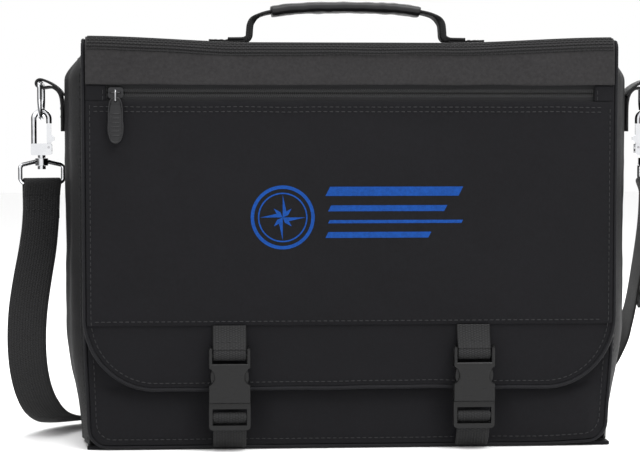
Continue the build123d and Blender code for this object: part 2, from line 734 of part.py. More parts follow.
def strap_plane(place, along, across, shift=0.0):
    """Cutting plane across the strap, pushed off its face by shift."""
    breadth = (across - along * across.dot(along)).normalized()
    face = along.cross(breadth).normalized()
    return Plane(place + face * shift, x_dir=breadth, z_dir=along)


def strap_cuts(first, shift=0.0):
    """Cutting planes at the route's points from number first to the end."""
    last = len(strap_route) - 1
    cuts = []
    for number in range(first, last + 1):
        way = route_place(min(number + 1, last)) - route_place(max(number - 1, 0))
        across = Vector(*strap_route[number][1])
        cuts.append(strap_plane(route_place(number), way.normalized(), across, shift))
    return cuts


adjuster_thickness = 3.2
adjuster_length = 24.0
adjuster_rim = 3.0
adjuster_bar = 4.0
adjuster_point = len(strap_route) - 5               # route point that the adjuster sits at
layer_shift = strap / 2 + strap_layer_gap + adjuster_thickness / 2
adjuster_cut = strap_cuts(adjuster_point, layer_shift)[0]
tail_end = Plane(adjuster_cut.origin + adjuster_cut.z_dir * (adjuster_length / 2 + 0.3),
                 x_dir=adjuster_cut.x_dir, z_dir=adjuster_cut.z_dir)

with BuildPart() as shoulder_strap:
    for cut in strap_cuts(0):
        with BuildSketch(cut):
            Rectangle(strap_width, strap)
    loft(ruled=True)
    # the free end comes back along the strap to the adjuster
    for cut in [tail_end] + strap_cuts(adjuster_point + 1, layer_shift):
        with BuildSketch(cut):
            Rectangle(strap_width, strap)
    loft(ruled=True)
    # turns round the two loop bars
    for sign, turn in ((-1, left_turn), (1, right_turn)):
        bar_way = Vector(cos(radians(turn)), sin(radians(turn)), 0)
        middle = Vector(sign * chain_place, chain_depth, loop_bar)
        with BuildSketch(Plane(middle - bar_way * strap_half, z_dir=bar_way)):
            Circle(strap_loop_outer)
            Circle(strap_loop_inner, mode=Mode.SUBTRACT)
        extrude(amount=strap_width)
save(shoulder_strap, "shoulder_strap")

seat = Plane(adjuster_cut.origin, x_dir=adjuster_cut.x_dir, z_dir=adjuster_cut.y_dir)
with BuildPart() as adjuster:
    with BuildSketch(seat.offset(-adjuster_thickness / 2)):
        RectangleRounded(strap_width + 2 * adjuster_rim + 2, adjuster_length, 3)
        slot_length = (adjuster_length - 2 * adjuster_rim - adjuster_bar) / 2
        slot_middle = (adjuster_bar + slot_length) / 2
        with Locations((0, slot_middle), (0, -slot_middle)):
            Rectangle(strap_width + 1, slot_length, mode=Mode.SUBTRACT)
    extrude(amount=adjuster_thickness)
save(adjuster, "strap_adjuster")
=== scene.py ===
"""Looks of the flight bag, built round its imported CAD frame.  Metres, +Z up, front on -Y."""
import json
from math import ceil, cos, exp, pi, radians, sin, sqrt

import bmesh
import bpy
from mathutils import Vector, noise
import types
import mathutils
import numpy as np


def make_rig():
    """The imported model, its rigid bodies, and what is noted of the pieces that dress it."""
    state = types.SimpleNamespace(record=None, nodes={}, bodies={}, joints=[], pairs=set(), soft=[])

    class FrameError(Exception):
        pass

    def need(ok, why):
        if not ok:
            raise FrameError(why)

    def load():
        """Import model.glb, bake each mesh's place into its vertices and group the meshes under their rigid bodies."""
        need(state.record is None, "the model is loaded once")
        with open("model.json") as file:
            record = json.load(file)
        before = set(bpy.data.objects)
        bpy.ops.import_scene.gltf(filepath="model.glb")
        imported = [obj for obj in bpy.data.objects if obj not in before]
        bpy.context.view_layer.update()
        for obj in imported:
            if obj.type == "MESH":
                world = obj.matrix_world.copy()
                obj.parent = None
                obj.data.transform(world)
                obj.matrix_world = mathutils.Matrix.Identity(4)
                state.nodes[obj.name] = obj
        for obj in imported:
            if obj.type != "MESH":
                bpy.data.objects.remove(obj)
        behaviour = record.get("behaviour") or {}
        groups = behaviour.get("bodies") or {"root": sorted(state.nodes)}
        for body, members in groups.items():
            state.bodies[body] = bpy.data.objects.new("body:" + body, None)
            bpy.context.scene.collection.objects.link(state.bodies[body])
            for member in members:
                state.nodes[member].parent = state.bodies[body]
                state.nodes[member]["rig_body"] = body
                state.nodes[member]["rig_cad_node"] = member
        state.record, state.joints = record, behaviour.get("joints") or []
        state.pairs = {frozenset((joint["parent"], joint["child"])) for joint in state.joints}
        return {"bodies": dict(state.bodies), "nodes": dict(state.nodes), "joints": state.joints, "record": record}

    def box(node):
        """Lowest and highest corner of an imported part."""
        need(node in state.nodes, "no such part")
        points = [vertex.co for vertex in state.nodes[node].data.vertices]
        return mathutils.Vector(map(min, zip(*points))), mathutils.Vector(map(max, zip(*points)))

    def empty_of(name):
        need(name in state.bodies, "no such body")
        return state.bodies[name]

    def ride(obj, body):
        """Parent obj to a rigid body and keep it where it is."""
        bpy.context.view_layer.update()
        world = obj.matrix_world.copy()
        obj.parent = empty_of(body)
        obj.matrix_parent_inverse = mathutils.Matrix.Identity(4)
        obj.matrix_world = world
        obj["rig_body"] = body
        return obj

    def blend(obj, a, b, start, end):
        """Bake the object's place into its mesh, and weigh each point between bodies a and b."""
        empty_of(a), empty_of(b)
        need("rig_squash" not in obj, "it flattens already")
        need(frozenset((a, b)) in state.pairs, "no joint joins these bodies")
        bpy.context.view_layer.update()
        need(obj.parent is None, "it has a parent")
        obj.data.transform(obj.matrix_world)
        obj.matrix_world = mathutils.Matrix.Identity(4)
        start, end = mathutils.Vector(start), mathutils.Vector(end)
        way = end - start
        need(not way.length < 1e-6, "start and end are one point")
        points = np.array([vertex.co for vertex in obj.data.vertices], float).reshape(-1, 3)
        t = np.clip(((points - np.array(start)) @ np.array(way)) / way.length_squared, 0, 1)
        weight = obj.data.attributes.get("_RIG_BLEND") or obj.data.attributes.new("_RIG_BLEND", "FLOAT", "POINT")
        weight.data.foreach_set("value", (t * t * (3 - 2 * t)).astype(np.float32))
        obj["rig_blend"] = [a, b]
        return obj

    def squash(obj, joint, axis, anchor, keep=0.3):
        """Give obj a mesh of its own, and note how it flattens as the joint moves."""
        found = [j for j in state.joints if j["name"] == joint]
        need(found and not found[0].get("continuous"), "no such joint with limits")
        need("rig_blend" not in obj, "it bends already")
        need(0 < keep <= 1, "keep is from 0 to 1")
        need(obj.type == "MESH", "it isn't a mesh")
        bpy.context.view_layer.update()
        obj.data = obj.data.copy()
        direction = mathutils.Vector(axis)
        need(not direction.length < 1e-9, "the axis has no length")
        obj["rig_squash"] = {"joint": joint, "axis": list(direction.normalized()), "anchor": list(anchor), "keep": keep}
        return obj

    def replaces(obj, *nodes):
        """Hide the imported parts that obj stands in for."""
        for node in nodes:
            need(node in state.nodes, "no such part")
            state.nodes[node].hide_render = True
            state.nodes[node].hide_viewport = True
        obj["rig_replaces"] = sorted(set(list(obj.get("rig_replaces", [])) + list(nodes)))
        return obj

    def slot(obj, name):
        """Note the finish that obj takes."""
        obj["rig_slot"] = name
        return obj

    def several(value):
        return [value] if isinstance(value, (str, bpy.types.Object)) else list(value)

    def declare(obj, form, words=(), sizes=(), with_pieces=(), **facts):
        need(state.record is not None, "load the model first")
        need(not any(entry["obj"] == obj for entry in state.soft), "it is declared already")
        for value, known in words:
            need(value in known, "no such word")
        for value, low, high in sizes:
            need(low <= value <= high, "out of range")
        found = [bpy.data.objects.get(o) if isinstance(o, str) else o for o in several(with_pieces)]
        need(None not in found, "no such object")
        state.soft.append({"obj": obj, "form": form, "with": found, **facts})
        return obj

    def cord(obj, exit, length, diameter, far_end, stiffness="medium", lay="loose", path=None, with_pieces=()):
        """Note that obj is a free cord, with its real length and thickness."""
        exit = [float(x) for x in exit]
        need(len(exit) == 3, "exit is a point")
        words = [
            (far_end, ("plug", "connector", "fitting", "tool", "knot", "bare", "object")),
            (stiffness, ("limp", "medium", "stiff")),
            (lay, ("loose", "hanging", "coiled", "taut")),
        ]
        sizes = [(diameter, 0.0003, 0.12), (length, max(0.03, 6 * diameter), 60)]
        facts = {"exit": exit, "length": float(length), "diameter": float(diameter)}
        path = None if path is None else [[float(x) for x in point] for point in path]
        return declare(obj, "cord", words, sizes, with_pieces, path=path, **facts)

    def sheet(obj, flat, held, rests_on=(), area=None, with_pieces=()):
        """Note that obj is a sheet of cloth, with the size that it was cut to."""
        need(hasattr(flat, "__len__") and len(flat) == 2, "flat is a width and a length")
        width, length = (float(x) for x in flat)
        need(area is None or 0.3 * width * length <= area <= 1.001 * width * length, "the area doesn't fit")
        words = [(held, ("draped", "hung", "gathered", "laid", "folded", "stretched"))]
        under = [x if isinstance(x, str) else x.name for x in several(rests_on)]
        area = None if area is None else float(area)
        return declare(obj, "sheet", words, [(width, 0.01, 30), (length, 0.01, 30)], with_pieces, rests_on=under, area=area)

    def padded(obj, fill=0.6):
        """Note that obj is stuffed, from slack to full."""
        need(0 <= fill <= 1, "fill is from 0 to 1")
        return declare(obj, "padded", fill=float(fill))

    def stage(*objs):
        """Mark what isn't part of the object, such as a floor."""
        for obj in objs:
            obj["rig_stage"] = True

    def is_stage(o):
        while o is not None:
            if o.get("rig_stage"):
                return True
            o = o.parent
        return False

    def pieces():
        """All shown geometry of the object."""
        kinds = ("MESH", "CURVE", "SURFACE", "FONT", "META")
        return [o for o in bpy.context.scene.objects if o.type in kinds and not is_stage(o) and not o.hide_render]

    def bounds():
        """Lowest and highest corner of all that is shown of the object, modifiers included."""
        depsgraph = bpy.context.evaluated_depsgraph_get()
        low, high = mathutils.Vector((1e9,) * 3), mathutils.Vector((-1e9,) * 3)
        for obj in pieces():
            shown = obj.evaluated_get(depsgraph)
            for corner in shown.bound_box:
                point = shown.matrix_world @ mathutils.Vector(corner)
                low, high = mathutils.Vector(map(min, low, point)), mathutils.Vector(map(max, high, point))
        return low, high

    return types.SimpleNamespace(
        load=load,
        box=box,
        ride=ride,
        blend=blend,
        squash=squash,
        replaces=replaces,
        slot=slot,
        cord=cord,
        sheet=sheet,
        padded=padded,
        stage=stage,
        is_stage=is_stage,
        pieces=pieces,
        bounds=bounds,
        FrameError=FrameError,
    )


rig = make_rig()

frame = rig.load()
cad_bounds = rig.bounds()
MM = 0.001
SIDES = (("left", -1), ("right", 1))


# ---------------- small helpers
def clamp(value, low=0.0, high=1.0):
    return max(low, min(high, value))


def ease(value):
    """0 to 1 with soft ends."""
    value = clamp(value)
    return value * value * (3 - 2 * value)


def mix(a, b, share):
    return a + (b - a) * share


def swell(share, power=1.0):
    """0 at both ends of 0..1 and 1 in the middle."""
    return max(0.0, sin(pi * clamp(share))) ** power


def ripple(x, y, z=0.0, scale=1.0):
    """Smooth repeatable noise, about -1 to 1."""
    return noise.noise(Vector((x * scale, y * scale, z * scale)))


# ---------------- materials
class Nodes:
    """A material's node tree with short calls to add to it."""

    def __init__(self, name):
        self.material = bpy.data.materials.new(name)
        self.material.use_nodes = True
        self.tree = self.material.node_tree
        self.tree.nodes.clear()
        self.shader = self.tree.nodes.new("ShaderNodeBsdfPrincipled")
        output = self.tree.nodes.new("ShaderNodeOutputMaterial")
        self.link(self.shader.outputs[0], output.inputs[0])

    def link(self, source, target):
        self.tree.links.new(source, target)

    def add(self, kind, **settings):
        node = self.tree.nodes.new("ShaderNode" + kind)
        for key, value in settings.items():
            setattr(node, key, value)
        return node

    def math(self, operation, first, second=None):
        node = self.add("Math", operation=operation)
        for socket, value in zip(node.inputs, (first, second)):
            if value is None:
                continue
            if isinstance(value, (int, float)):
                socket.default_value = value
            else:
                self.link(value, socket)
        return node.outputs[0]

    def times(self, first, second):
        return self.math("MULTIPLY", first, second)

    def sum(self, *terms):
        """Sum of (value, weight) pairs and bare values."""
        total = None
        for term in terms:
            part = self.times(*term) if isinstance(term, tuple) else term
            total = part if total is None else self.math("ADD", total, part)
        return total

    def hump(self, value):
        """Rows of rounded humps, one for each whole step of value."""
        return self.math("ABSOLUTE", self.math("SINE", self.times(value, pi)))

    def feed(self, **sources):
        for key, source in sources.items():
            self.link(source, self.shader.inputs[key.replace("_", " ")])

    def place(self, source, scale=(1, 1, 1)):
        """Texture coordinates, scaled: source is UV or Object."""
        coordinates = self.add("TexCoord")
        mapping = self.add("Mapping")
        mapping.inputs["Scale"].default_value = scale
        self.link(coordinates.outputs[source], mapping.inputs["Vector"])
        return mapping.outputs[0]

    def noise(self, vector, scale, detail=2.0, roughness=0.5):
        node = self.add("TexNoise")
        node.inputs["Scale"].default_value = scale
        node.inputs["Detail"].default_value = detail
        node.inputs["Roughness"].default_value = roughness
        self.link(vector, node.inputs["Vector"])
        return node.outputs[0]

    def ramp(self, factor, stops):
        node = self.add("ValToRGB")
        elements = node.color_ramp.elements
        while len(elements) < len(stops):
            elements.new(0.5)
        for element, (position, colour) in zip(elements, stops):
            element.position = position
            element.color = (*colour, 1)
        self.link(factor, node.inputs[0])
        return node.outputs[0]

    def bump(self, height, distance, strength=1.0, under=None):
        node = self.add("Bump")
        node.inputs["Distance"].default_value = distance
        node.inputs["Strength"].default_value = strength
        self.link(height, node.inputs["Height"])
        if under is not None:
            self.link(under, node.inputs["Normal"])
        return node.outputs[0]

    def set(self, **values):
        for key, value in values.items():
            self.shader.inputs[key.replace("_", " ")].default_value = value


def shade(colour, factor):
    return tuple(channel * factor for channel in colour)


def woven_height(nodes, pitch):
    """Height of a plain weave of round yarns, over and under, from the piece's own cloth map."""
    split = nodes.add("SeparateXYZ")
    nodes.link(nodes.place("UV", (1 / pitch, 1 / pitch, 1)), split.inputs[0])
    across, along = split.outputs[0], split.outputs[1]
    warp, weft = nodes.hump(across), nodes.hump(along)
    turn = nodes.math("PINGPONG", nodes.sum(nodes.math("FLOOR", across), nodes.math("FLOOR", along)), 1.0)
    over = nodes.times(warp, nodes.sum((weft, 0.6), 0.4))
    under = nodes.times(weft, nodes.sum((warp, 0.6), 0.4))
    return nodes.sum((over, turn), (under, nodes.math("SUBTRACT", 1.0, turn)))


def cloth(name, colour, pitch=0.75 * MM, rough=0.62, sheen=0.04, depth=0.16 * MM):
    """Coated plain-weave cloth: yarns in relief, faint slubs, uneven dye, and painted shade: the weave's height darkens
    the colour between the yarns and lightens the yarn tops.
    """
    nodes = Nodes(name)
    height = woven_height(nodes, pitch)
    place = nodes.place("Object")
    slub = nodes.noise(nodes.place("Object", (60, 60, 900)), 6, 3, 0.6)
    patches = nodes.noise(place, 14, 4, 0.6)
    grain = nodes.math("SUBTRACT", nodes.noise(place, 420, 3, 0.7), 0.5)
    # tone: the weave height paints shade into the colour between the yarns and lightens the yarn tops; patches, slubs
    # and grain vary it at random
    tone = nodes.sum((height, 0.55), nodes.sum((patches, 0.3), (slub, 0.25), (grain, 0.7)))
    creases = nodes.bump(patches, 0.8 * MM, 0.5)
    nodes.feed(Base_Color=nodes.ramp(tone, ((0.18, shade(colour, 0.45)), (0.55, colour),
                                            (0.95, shade(colour, 1.55)))),
               Normal=nodes.bump(height, depth, 0.85, creases), Roughness=nodes.sum((slub, 0.2), rough - 0.1))
    nodes.set(Sheen_Weight=sheen, Sheen_Roughness=0.4, Specular_IOR_Level=0.1)
    return nodes.material


def webbing(name, colour, pick=1.35 * MM, cord=2.1 * MM, rough=0.66):
    """Heavy woven tape: firm crosswise picks over lengthwise cords, with painted shade in the gaps between them and
    painted highlight on their tops.
    """
    nodes = Nodes(name)
    split = nodes.add("SeparateXYZ")
    nodes.link(nodes.place("UV", (1 / cord, 1 / pick, 1)), split.inputs[0])
    picks = nodes.hump(nodes.sum(split.outputs[1], (nodes.math("FLOOR", split.outputs[0]), 0.5)))
    cords = nodes.hump(split.outputs[0])
    height = nodes.times(nodes.sum((picks, 0.7), 0.3), nodes.sum((cords, 0.5), 0.5))
    fuzz = nodes.noise(nodes.place("Object"), 900, 2)
    # tone: the picks' and cords' height paints shade into the colour in the gaps and highlight on the tops; fuzz varies
    # it at random
    tone = nodes.sum((height, 0.8), (fuzz, 0.25))
    nodes.feed(Base_Color=nodes.ramp(tone,
                                     ((0.15, shade(colour, 0.3)), (0.6, colour), (1.0, shade(colour, 1.9)))),
               Normal=nodes.bump(height, 0.4 * MM, 0.9), Roughness=nodes.sum((fuzz, 0.2), rough - 0.1))
    nodes.set(Sheen_Weight=0.03, Specular_IOR_Level=0.2)
    return nodes.material


def moulded(name, colour, rough, grain=0.03 * MM, grain_scale=1400, speck=0.3, specular=0.5):
    """Moulded plastic or rubber: fine spark-eroded grain, slight scuffs and uneven gloss."""
    nodes = Nodes(name)
    fine = nodes.noise(nodes.place("Object"), grain_scale, 3, 0.6)
    scuffs = nodes.noise(nodes.place("Object", (1, 1, 4)), 170, 5, 0.7)
    stops = ((0.3, shade(colour, 1 - speck)), (0.55, colour), (0.8, shade(colour, 1 + speck)))
    nodes.feed(Base_Color=nodes.ramp(nodes.sum((fine, 0.4), (scuffs, 0.6)), stops),
               Normal=nodes.bump(fine, grain, 0.7), Roughness=nodes.sum((scuffs, 0.25), rough - 0.12))
    nodes.set(Specular_IOR_Level=specular)
    return nodes.material


def plated(name, colour, rough, bands=0.0):
    """Plated metal: polishing lines, dull patches and, if asked, painted reflection: dark and bright bands like a
    studio's reflection, painted into the colour by the way the surface faces.
    """
    nodes = Nodes(name)
    lines = nodes.noise(nodes.place("Object", (1, 1, 12)), 420, 4, 0.6)
    patches = nodes.noise(nodes.place("Object"), 120, 4, 0.65)
    tone = patches
    if bands:
        # painted reflection: the colour turns dark and light in bands with the surface's facing, as a studio's
        # reflection would
        split = nodes.add("SeparateXYZ")
        nodes.link(nodes.add("TexCoord").outputs["Normal"], split.inputs[0])
        lean = nodes.sum((split.outputs[0], 0.7), (split.outputs[2], 0.5))
        painted_reflection_wave = nodes.math("ABSOLUTE", nodes.math("SINE", nodes.times(lean, 3.4)))
        tone = nodes.sum((patches, 0.4), (nodes.math("SUBTRACT", 1.0, painted_reflection_wave), bands))
    low = 0.12 if bands else 0.7
    nodes.feed(Base_Color=nodes.ramp(tone,
                                     ((0.3, shade(colour, low)), (0.6, colour), (0.9, shade(colour, 1.08)))),
               Normal=nodes.bump(lines, 0.02 * MM, 0.4), Roughness=nodes.sum((patches, 0.22), rough - 0.1))
    nodes.set(Metallic=1.0)
    return nodes.material


BLACK = (0.0046, 0.0045, 0.0056)
LOOKS = {
    "cloth": cloth("coated_cloth", BLACK),
    # cover: the black cloth made about four and a half times lighter for the flap's top and hem, painted light where
    # they face up to the lamps
    "cover": cloth("cover_cloth", (0.021, 0.0202, 0.0208)),
    "lining": cloth("lining_cloth", (0.02, 0.02, 0.022), 0.5 * MM, 0.5, 0.03, 0.08 * MM),
    "board": moulded("board_sheet", (0.02, 0.02, 0.02), 0.6),
    "webbing": webbing("ribbed_webbing", (0.0082, 0.0082, 0.0086)),
    "band": webbing("band_webbing", (0.0045, 0.0045, 0.0048), 1.2 * MM, 1.6 * MM),
    # gusset: the black cloth at under half its brightness, painted shade for the sides that turn away from the lamps
    "gusset": cloth("gusset_cloth", shade(BLACK, 0.45), rough=0.55),
    "piping": cloth("piping_cloth", (0.0075, 0.0075, 0.0088), 0.6 * MM, 0.45, 0.02),
    "thread": moulded("stitch_thread", (0.017, 0.017, 0.018), 0.5, 0.08 * MM, 3000, 0.3, 0.25),
    "grip": moulded("grip_sleeve", (0.012, 0.012, 0.0125), 0.45, 0.08 * MM, 900, 0.25, 0.3),
    "zip_tape": webbing("zip_tape_weave", (0.012, 0.012, 0.013), 0.6 * MM, 0.9 * MM),
    "zip_teeth": moulded("nylon_teeth", (0.03, 0.03, 0.031), 0.4, specular=0.4),
    "slider_metal": plated("slider_enamel", (0.05, 0.05, 0.052), 0.28),
    "pull_rubber": moulded("pull_rubber", (0.01, 0.01, 0.011), 0.45, 0.05 * MM, specular=0.3),
    "buckle_plastic": moulded("buckle_acetal", (0.0085, 0.0085, 0.0087), 0.3, 0.025 * MM, 1600, 0.25, 0.2),
    # the hook metal carries painted reflection bands in its colour
    "hook_metal": plated("bright_plate", (0.74, 0.75, 0.77), 0.15, 0.85),
    "steel": plated("spring_steel", (0.5, 0.5, 0.52), 0.3),
    "print": cloth("blue_print", (0.004, 0.042, 0.2), 0.75 * MM, 0.5, 0.02, 0.1 * MM),
}


# ---------------- mesh building
def finish_piece(piece, look, slot, body=None):
    """Material, finish slot, smooth shading and the body it rides on."""
    piece.data.materials.clear()
    piece.data.materials.append(LOOKS[look])
    for face in piece.data.polygons:
        face.use_smooth = True
    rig.slot(piece, slot)
    if body:
        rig.ride(piece, body)
    return piece


def from_lists(name, points, faces, cloth_map=None):
    """Object from points and faces, with a cloth map in metres given for each point."""
    mesh = bpy.data.meshes.new(name)
    mesh.from_pydata([tuple(p) for p in points], [], faces)
    if cloth_map is not None:
        layer = mesh.uv_layers.new(name="Cloth")
        for loop in mesh.loops:
            layer.data[loop.index].uv = cloth_map[loop.vertex_index]
    piece = bpy.data.objects.new(name, mesh)
    bpy.context.scene.collection.objects.link(piece)
    return piece


def settle(piece):
    """Put the modifiers' result into the mesh."""
    graph = bpy.context.evaluated_depsgraph_get()
    graph.update()
    mesh = bpy.data.meshes.new_from_object(piece.evaluated_get(graph))
    piece.modifiers.clear()
    piece.data = mesh
    return piece


def thicken(piece, thickness, bevel=0.0):
    """Give an open sheet its thickness behind its outer face, with softened edges."""
    solid = piece.modifiers.new("thickness", "SOLIDIFY")
    solid.thickness = thickness
    solid.offset = -1
    solid.use_even_offset = True
    if bevel:
        edge = piece.modifiers.new("edge", "BEVEL")
        edge.width = bevel
        edge.segments = 2
        edge.limit_method = "ANGLE"
        edge.angle_limit = radians(50)
    return settle(piece)


def grid_faces(columns, rows, first=0):
    """Quads of a grid of points numbered row by row from first."""
    corners = [first + j * (columns + 1) + i for j in range(rows) for i in range(columns)]
    return [(a, a + 1, a + columns + 2, a + columns + 1) for a in corners]


def ring_faces(count, ring, first=0):
    """Quads between each of count rings of points and the next ring."""
    faces = []
    for start in range(first, first + (count - 1) * ring, ring):
        for k in range(ring):
            a, b = start + k, start + (k + 1) % ring
            faces.append((a, b, b + ring, a + ring))
    return faces


def surface(name, place, size, steps, thickness):
    """Sheet over 0..1 by 0..1 put in space by place(u, v), size being its cut size in metres."""
    columns, rows = steps
    shares = [(i / columns, j / rows) for j in range(rows + 1) for i in range(columns + 1)]
    cloth_map = [(u * size[0], v * size[1]) for u, v in shares]
    piece = from_lists(name, [place(u, v) for u, v in shares], grid_faces(columns, rows), cloth_map)
    if thickness:
        thicken(piece, thickness)
    return piece


def nurbs_points(points, fineness=10):
    """Points along the smooth line that has these points as its control points."""
    curve = bpy.data.curves.new("line", "CURVE")
    curve.dimensions = "3D"
    curve.resolution_u = fineness
    spline = curve.splines.new("NURBS")
    spline.points.add(len(points) - 1)
    for control, point in zip(spline.points, points):
        control.co = (*point, 1)
    spline.order_u = 3
    spline.use_endpoint_u = True
    holder = bpy.data.objects.new("line", curve)
    mesh = bpy.data.meshes.new_from_object(holder)
    result = [vertex.co.copy() for vertex in mesh.vertices]
    bpy.data.objects.remove(holder)
    bpy.data.curves.remove(curve)
    bpy.data.meshes.remove(mesh)
    return result


def tangents(line):
    last = len(line) - 1
    return [(line[min(i + 1, last)] - line[max(i - 1, 0)]).normalized() for i in range(last + 1)]


def drawn(name, line, across, profile, scale=None, closed=False):
    """Solid drawn along a line.  across is one direction or one for each point; profile is a ring of
    (across, face) offsets; scale(share) gives the section's (across, face) scale along the line."""
    ways = tangents(line)
    ring = len(profile)
    points, cloth_map = [], []
    girth = [0.0]
    for a, b in zip(profile, profile[1:]):
        girth.append(girth[-1] + sqrt((a[0] - b[0]) ** 2 + (a[1] - b[1]) ** 2))
    run = 0.0
    for i, (centre, way) in enumerate(zip(line, ways)):
        if i:
            run += (centre - line[i - 1]).length
        hint = across[i] if isinstance(across, list) else across
        side = (hint - way * hint.dot(way)).normalized()
        face = way.cross(side).normalized()
        wide, tall = scale(i / (len(line) - 1)) if scale else (1, 1)
        for k, (a, b) in enumerate(profile):
            points.append(centre + side * a * wide + face * b * tall)
            cloth_map.append((girth[k], run))
    last = (len(line) - 1) * ring
    faces = ring_faces(len(line), ring)
    if closed:
        faces += [(last + k, last + (k + 1) % ring, (k + 1) % ring, k) for k in range(ring)]
    else:
        faces += [tuple(reversed(range(ring))), tuple(range(last, last + ring))]
    return from_lists(name, points, faces, cloth_map)


def round_profile(radius, sides=10):
    return [(radius * cos(2 * pi * k / sides), radius * sin(2 * pi * k / sides)) for k in range(sides)]


def tape_profile(width, thickness, ribs=0, rib=0.0):
    """Flat tape with round selvedges and, if asked, lengthwise ribs on its face."""
    half, flat = width / 2, thickness / 2
    steps = max(8, ribs * 4)
    ring = []
    for side in (1, -1):
        for k in range(steps + 1):
            share = k / steps
            a = side * mix(-half + flat, half - flat, share)
            height = rib * abs(sin(pi * ribs * share)) if ribs else 0
            ring.append((a, -side * (flat + height)))
        ring.append((side * (half - 0.3 * flat), -side * flat * 0.6))
        ring.append((side * half, 0))
        ring.append((side * (half - 0.3 * flat), side * flat * 0.6))
    return ring


def oval_profile(width, height, power=2.6, sides=28):
    ring = []
    for k in range(sides):
        angle = 2 * pi * k / sides
        c, s = cos(angle), sin(angle)
        a = abs(c) ** (2 / power) * width / 2 * (1 if c >= 0 else -1)
        b = abs(s) ** (2 / power) * height / 2 * (1 if s >= 0 else -1)
        ring.append((a, b))
    return ring


def even_line(line, spacing):
    """Points at even steps along a line."""
    result, need = [line[0].copy()], spacing
    for a, b in zip(line, line[1:]):
        length = (b - a).length
        start = 0.0
        while length - start >= need:
            start += need
            result.append(a.lerp(b, start / length))
            need = spacing
        need -= length - start
    return result


STITCH = ((0.0, 0.25, -0.5), (0.12, 1.0, 0.2), (0.5, 1.05, 0.45), (0.88, 1.0, 0.2), (1.0, 0.25, -0.5))


def stitches(name, runs, body, out, length=3.0 * MM, gap=1.5 * MM, radius=0.33 * MM):
    """Rows of thread stitches.  Each run is a line lying on the cloth, and out is the way off it."""
    points, faces = [], []
    for line in runs:
        marks = even_line(line, length + gap)
        for a, b in zip(marks, marks[1:]):
            way = (b - a).normalized()
            side = way.cross(out).normalized()
            lift = side.cross(way)
            first = len(points)
            for share, size, rise in STITCH:
                centre = a + way * share * length + lift * rise * radius
                for k in range(6):
                    turn = 2 * pi * k / 6
                    points.append(centre + (side * cos(turn) + lift * sin(turn)) * radius * size)
            faces += ring_faces(5, 6, first)
            faces += [tuple(first + k for k in reversed(range(6))), tuple(first + 24 + k for k in range(6))]
    piece = from_lists(name, points, faces, [(0, 0)] * len(points))
    return finish_piece(piece, "thread", "cloth", body)


# ---------------- places, from the CAD
def edge_of(node, axis, high):
    """One side of a node's box: axis 0 to 2, high 0 or 1."""
    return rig.box(node)[high][axis]


FLAP_Y = edge_of("flap_panel", 1, 0)
LOW_Y = edge_of("flap_lower_panel", 1, 0)
FLAP_BOTTOM = edge_of("flap_lower_panel", 2, 0)
SEAM = edge_of("flap_panel", 2, 0)
SLOT_LOW = edge_of("flap_panel", 2, 1)
SLOT_HIGH = edge_of("flap_hem_panel", 2, 0)
ZIP = (SLOT_LOW + SLOT_HIGH) / 2
HALF = edge_of("flap_panel", 0, 1)
TOP = edge_of("flap_top_panel", 2, 1)
PIPE = 1.5 * MM
PIPE_X = edge_of("flap_piping", 0, 1) - PIPE
PIPE_Z = edge_of("flap_piping", 2, 0) + PIPE
POCKET_Y = edge_of("front_pocket_panel", 1, 0)
POCKET_TOP = edge_of("front_pocket_panel", 2, 1)
BACK_Y = edge_of("back_panel", 1, 1)
FLAP_CORNER = 52 * MM
BODY_CORNER = 12 * MM
BUCKLES = 92 * MM
CHAIN = 236 * MM
CHAIN_Y = 3 * MM
STRAP = 1.6 * MM
HANDLE_Y = 5 * MM
WEBBING = 25 * MM               # width of the buckle, tab and handle webbing
RING_BAR = 277                  # mm, middle of the D-ring's straight bar
TAB_X = 219.4 * MM              # where the ring tab lies on the gusset
ON_CLOTH = 0.05 * MM            # a stitch row's line off the cloth
PICTURE_WIDTH = 0.48            # what the camera sees across, at the target

# ---------------- camera
view_target = Vector((-24 * MM, FLAP_Y, 166.5 * MM))
view_distance = 1.4
azimuth, elevation = radians(-3.5), radians(3)
camera = bpy.data.objects.new("camera", bpy.data.cameras.new("camera"))
bpy.context.scene.collection.objects.link(camera)
camera.location = view_target + view_distance * Vector(
    (sin(azimuth) * cos(elevation), -cos(azimuth) * cos(elevation), sin(elevation)))
camera.rotation_euler = (view_target - camera.location).to_track_quat("-Z", "Y").to_euler()
camera.data.lens = camera.data.sensor_width * view_distance / PICTURE_WIDTH
bpy.context.scene.camera = camera

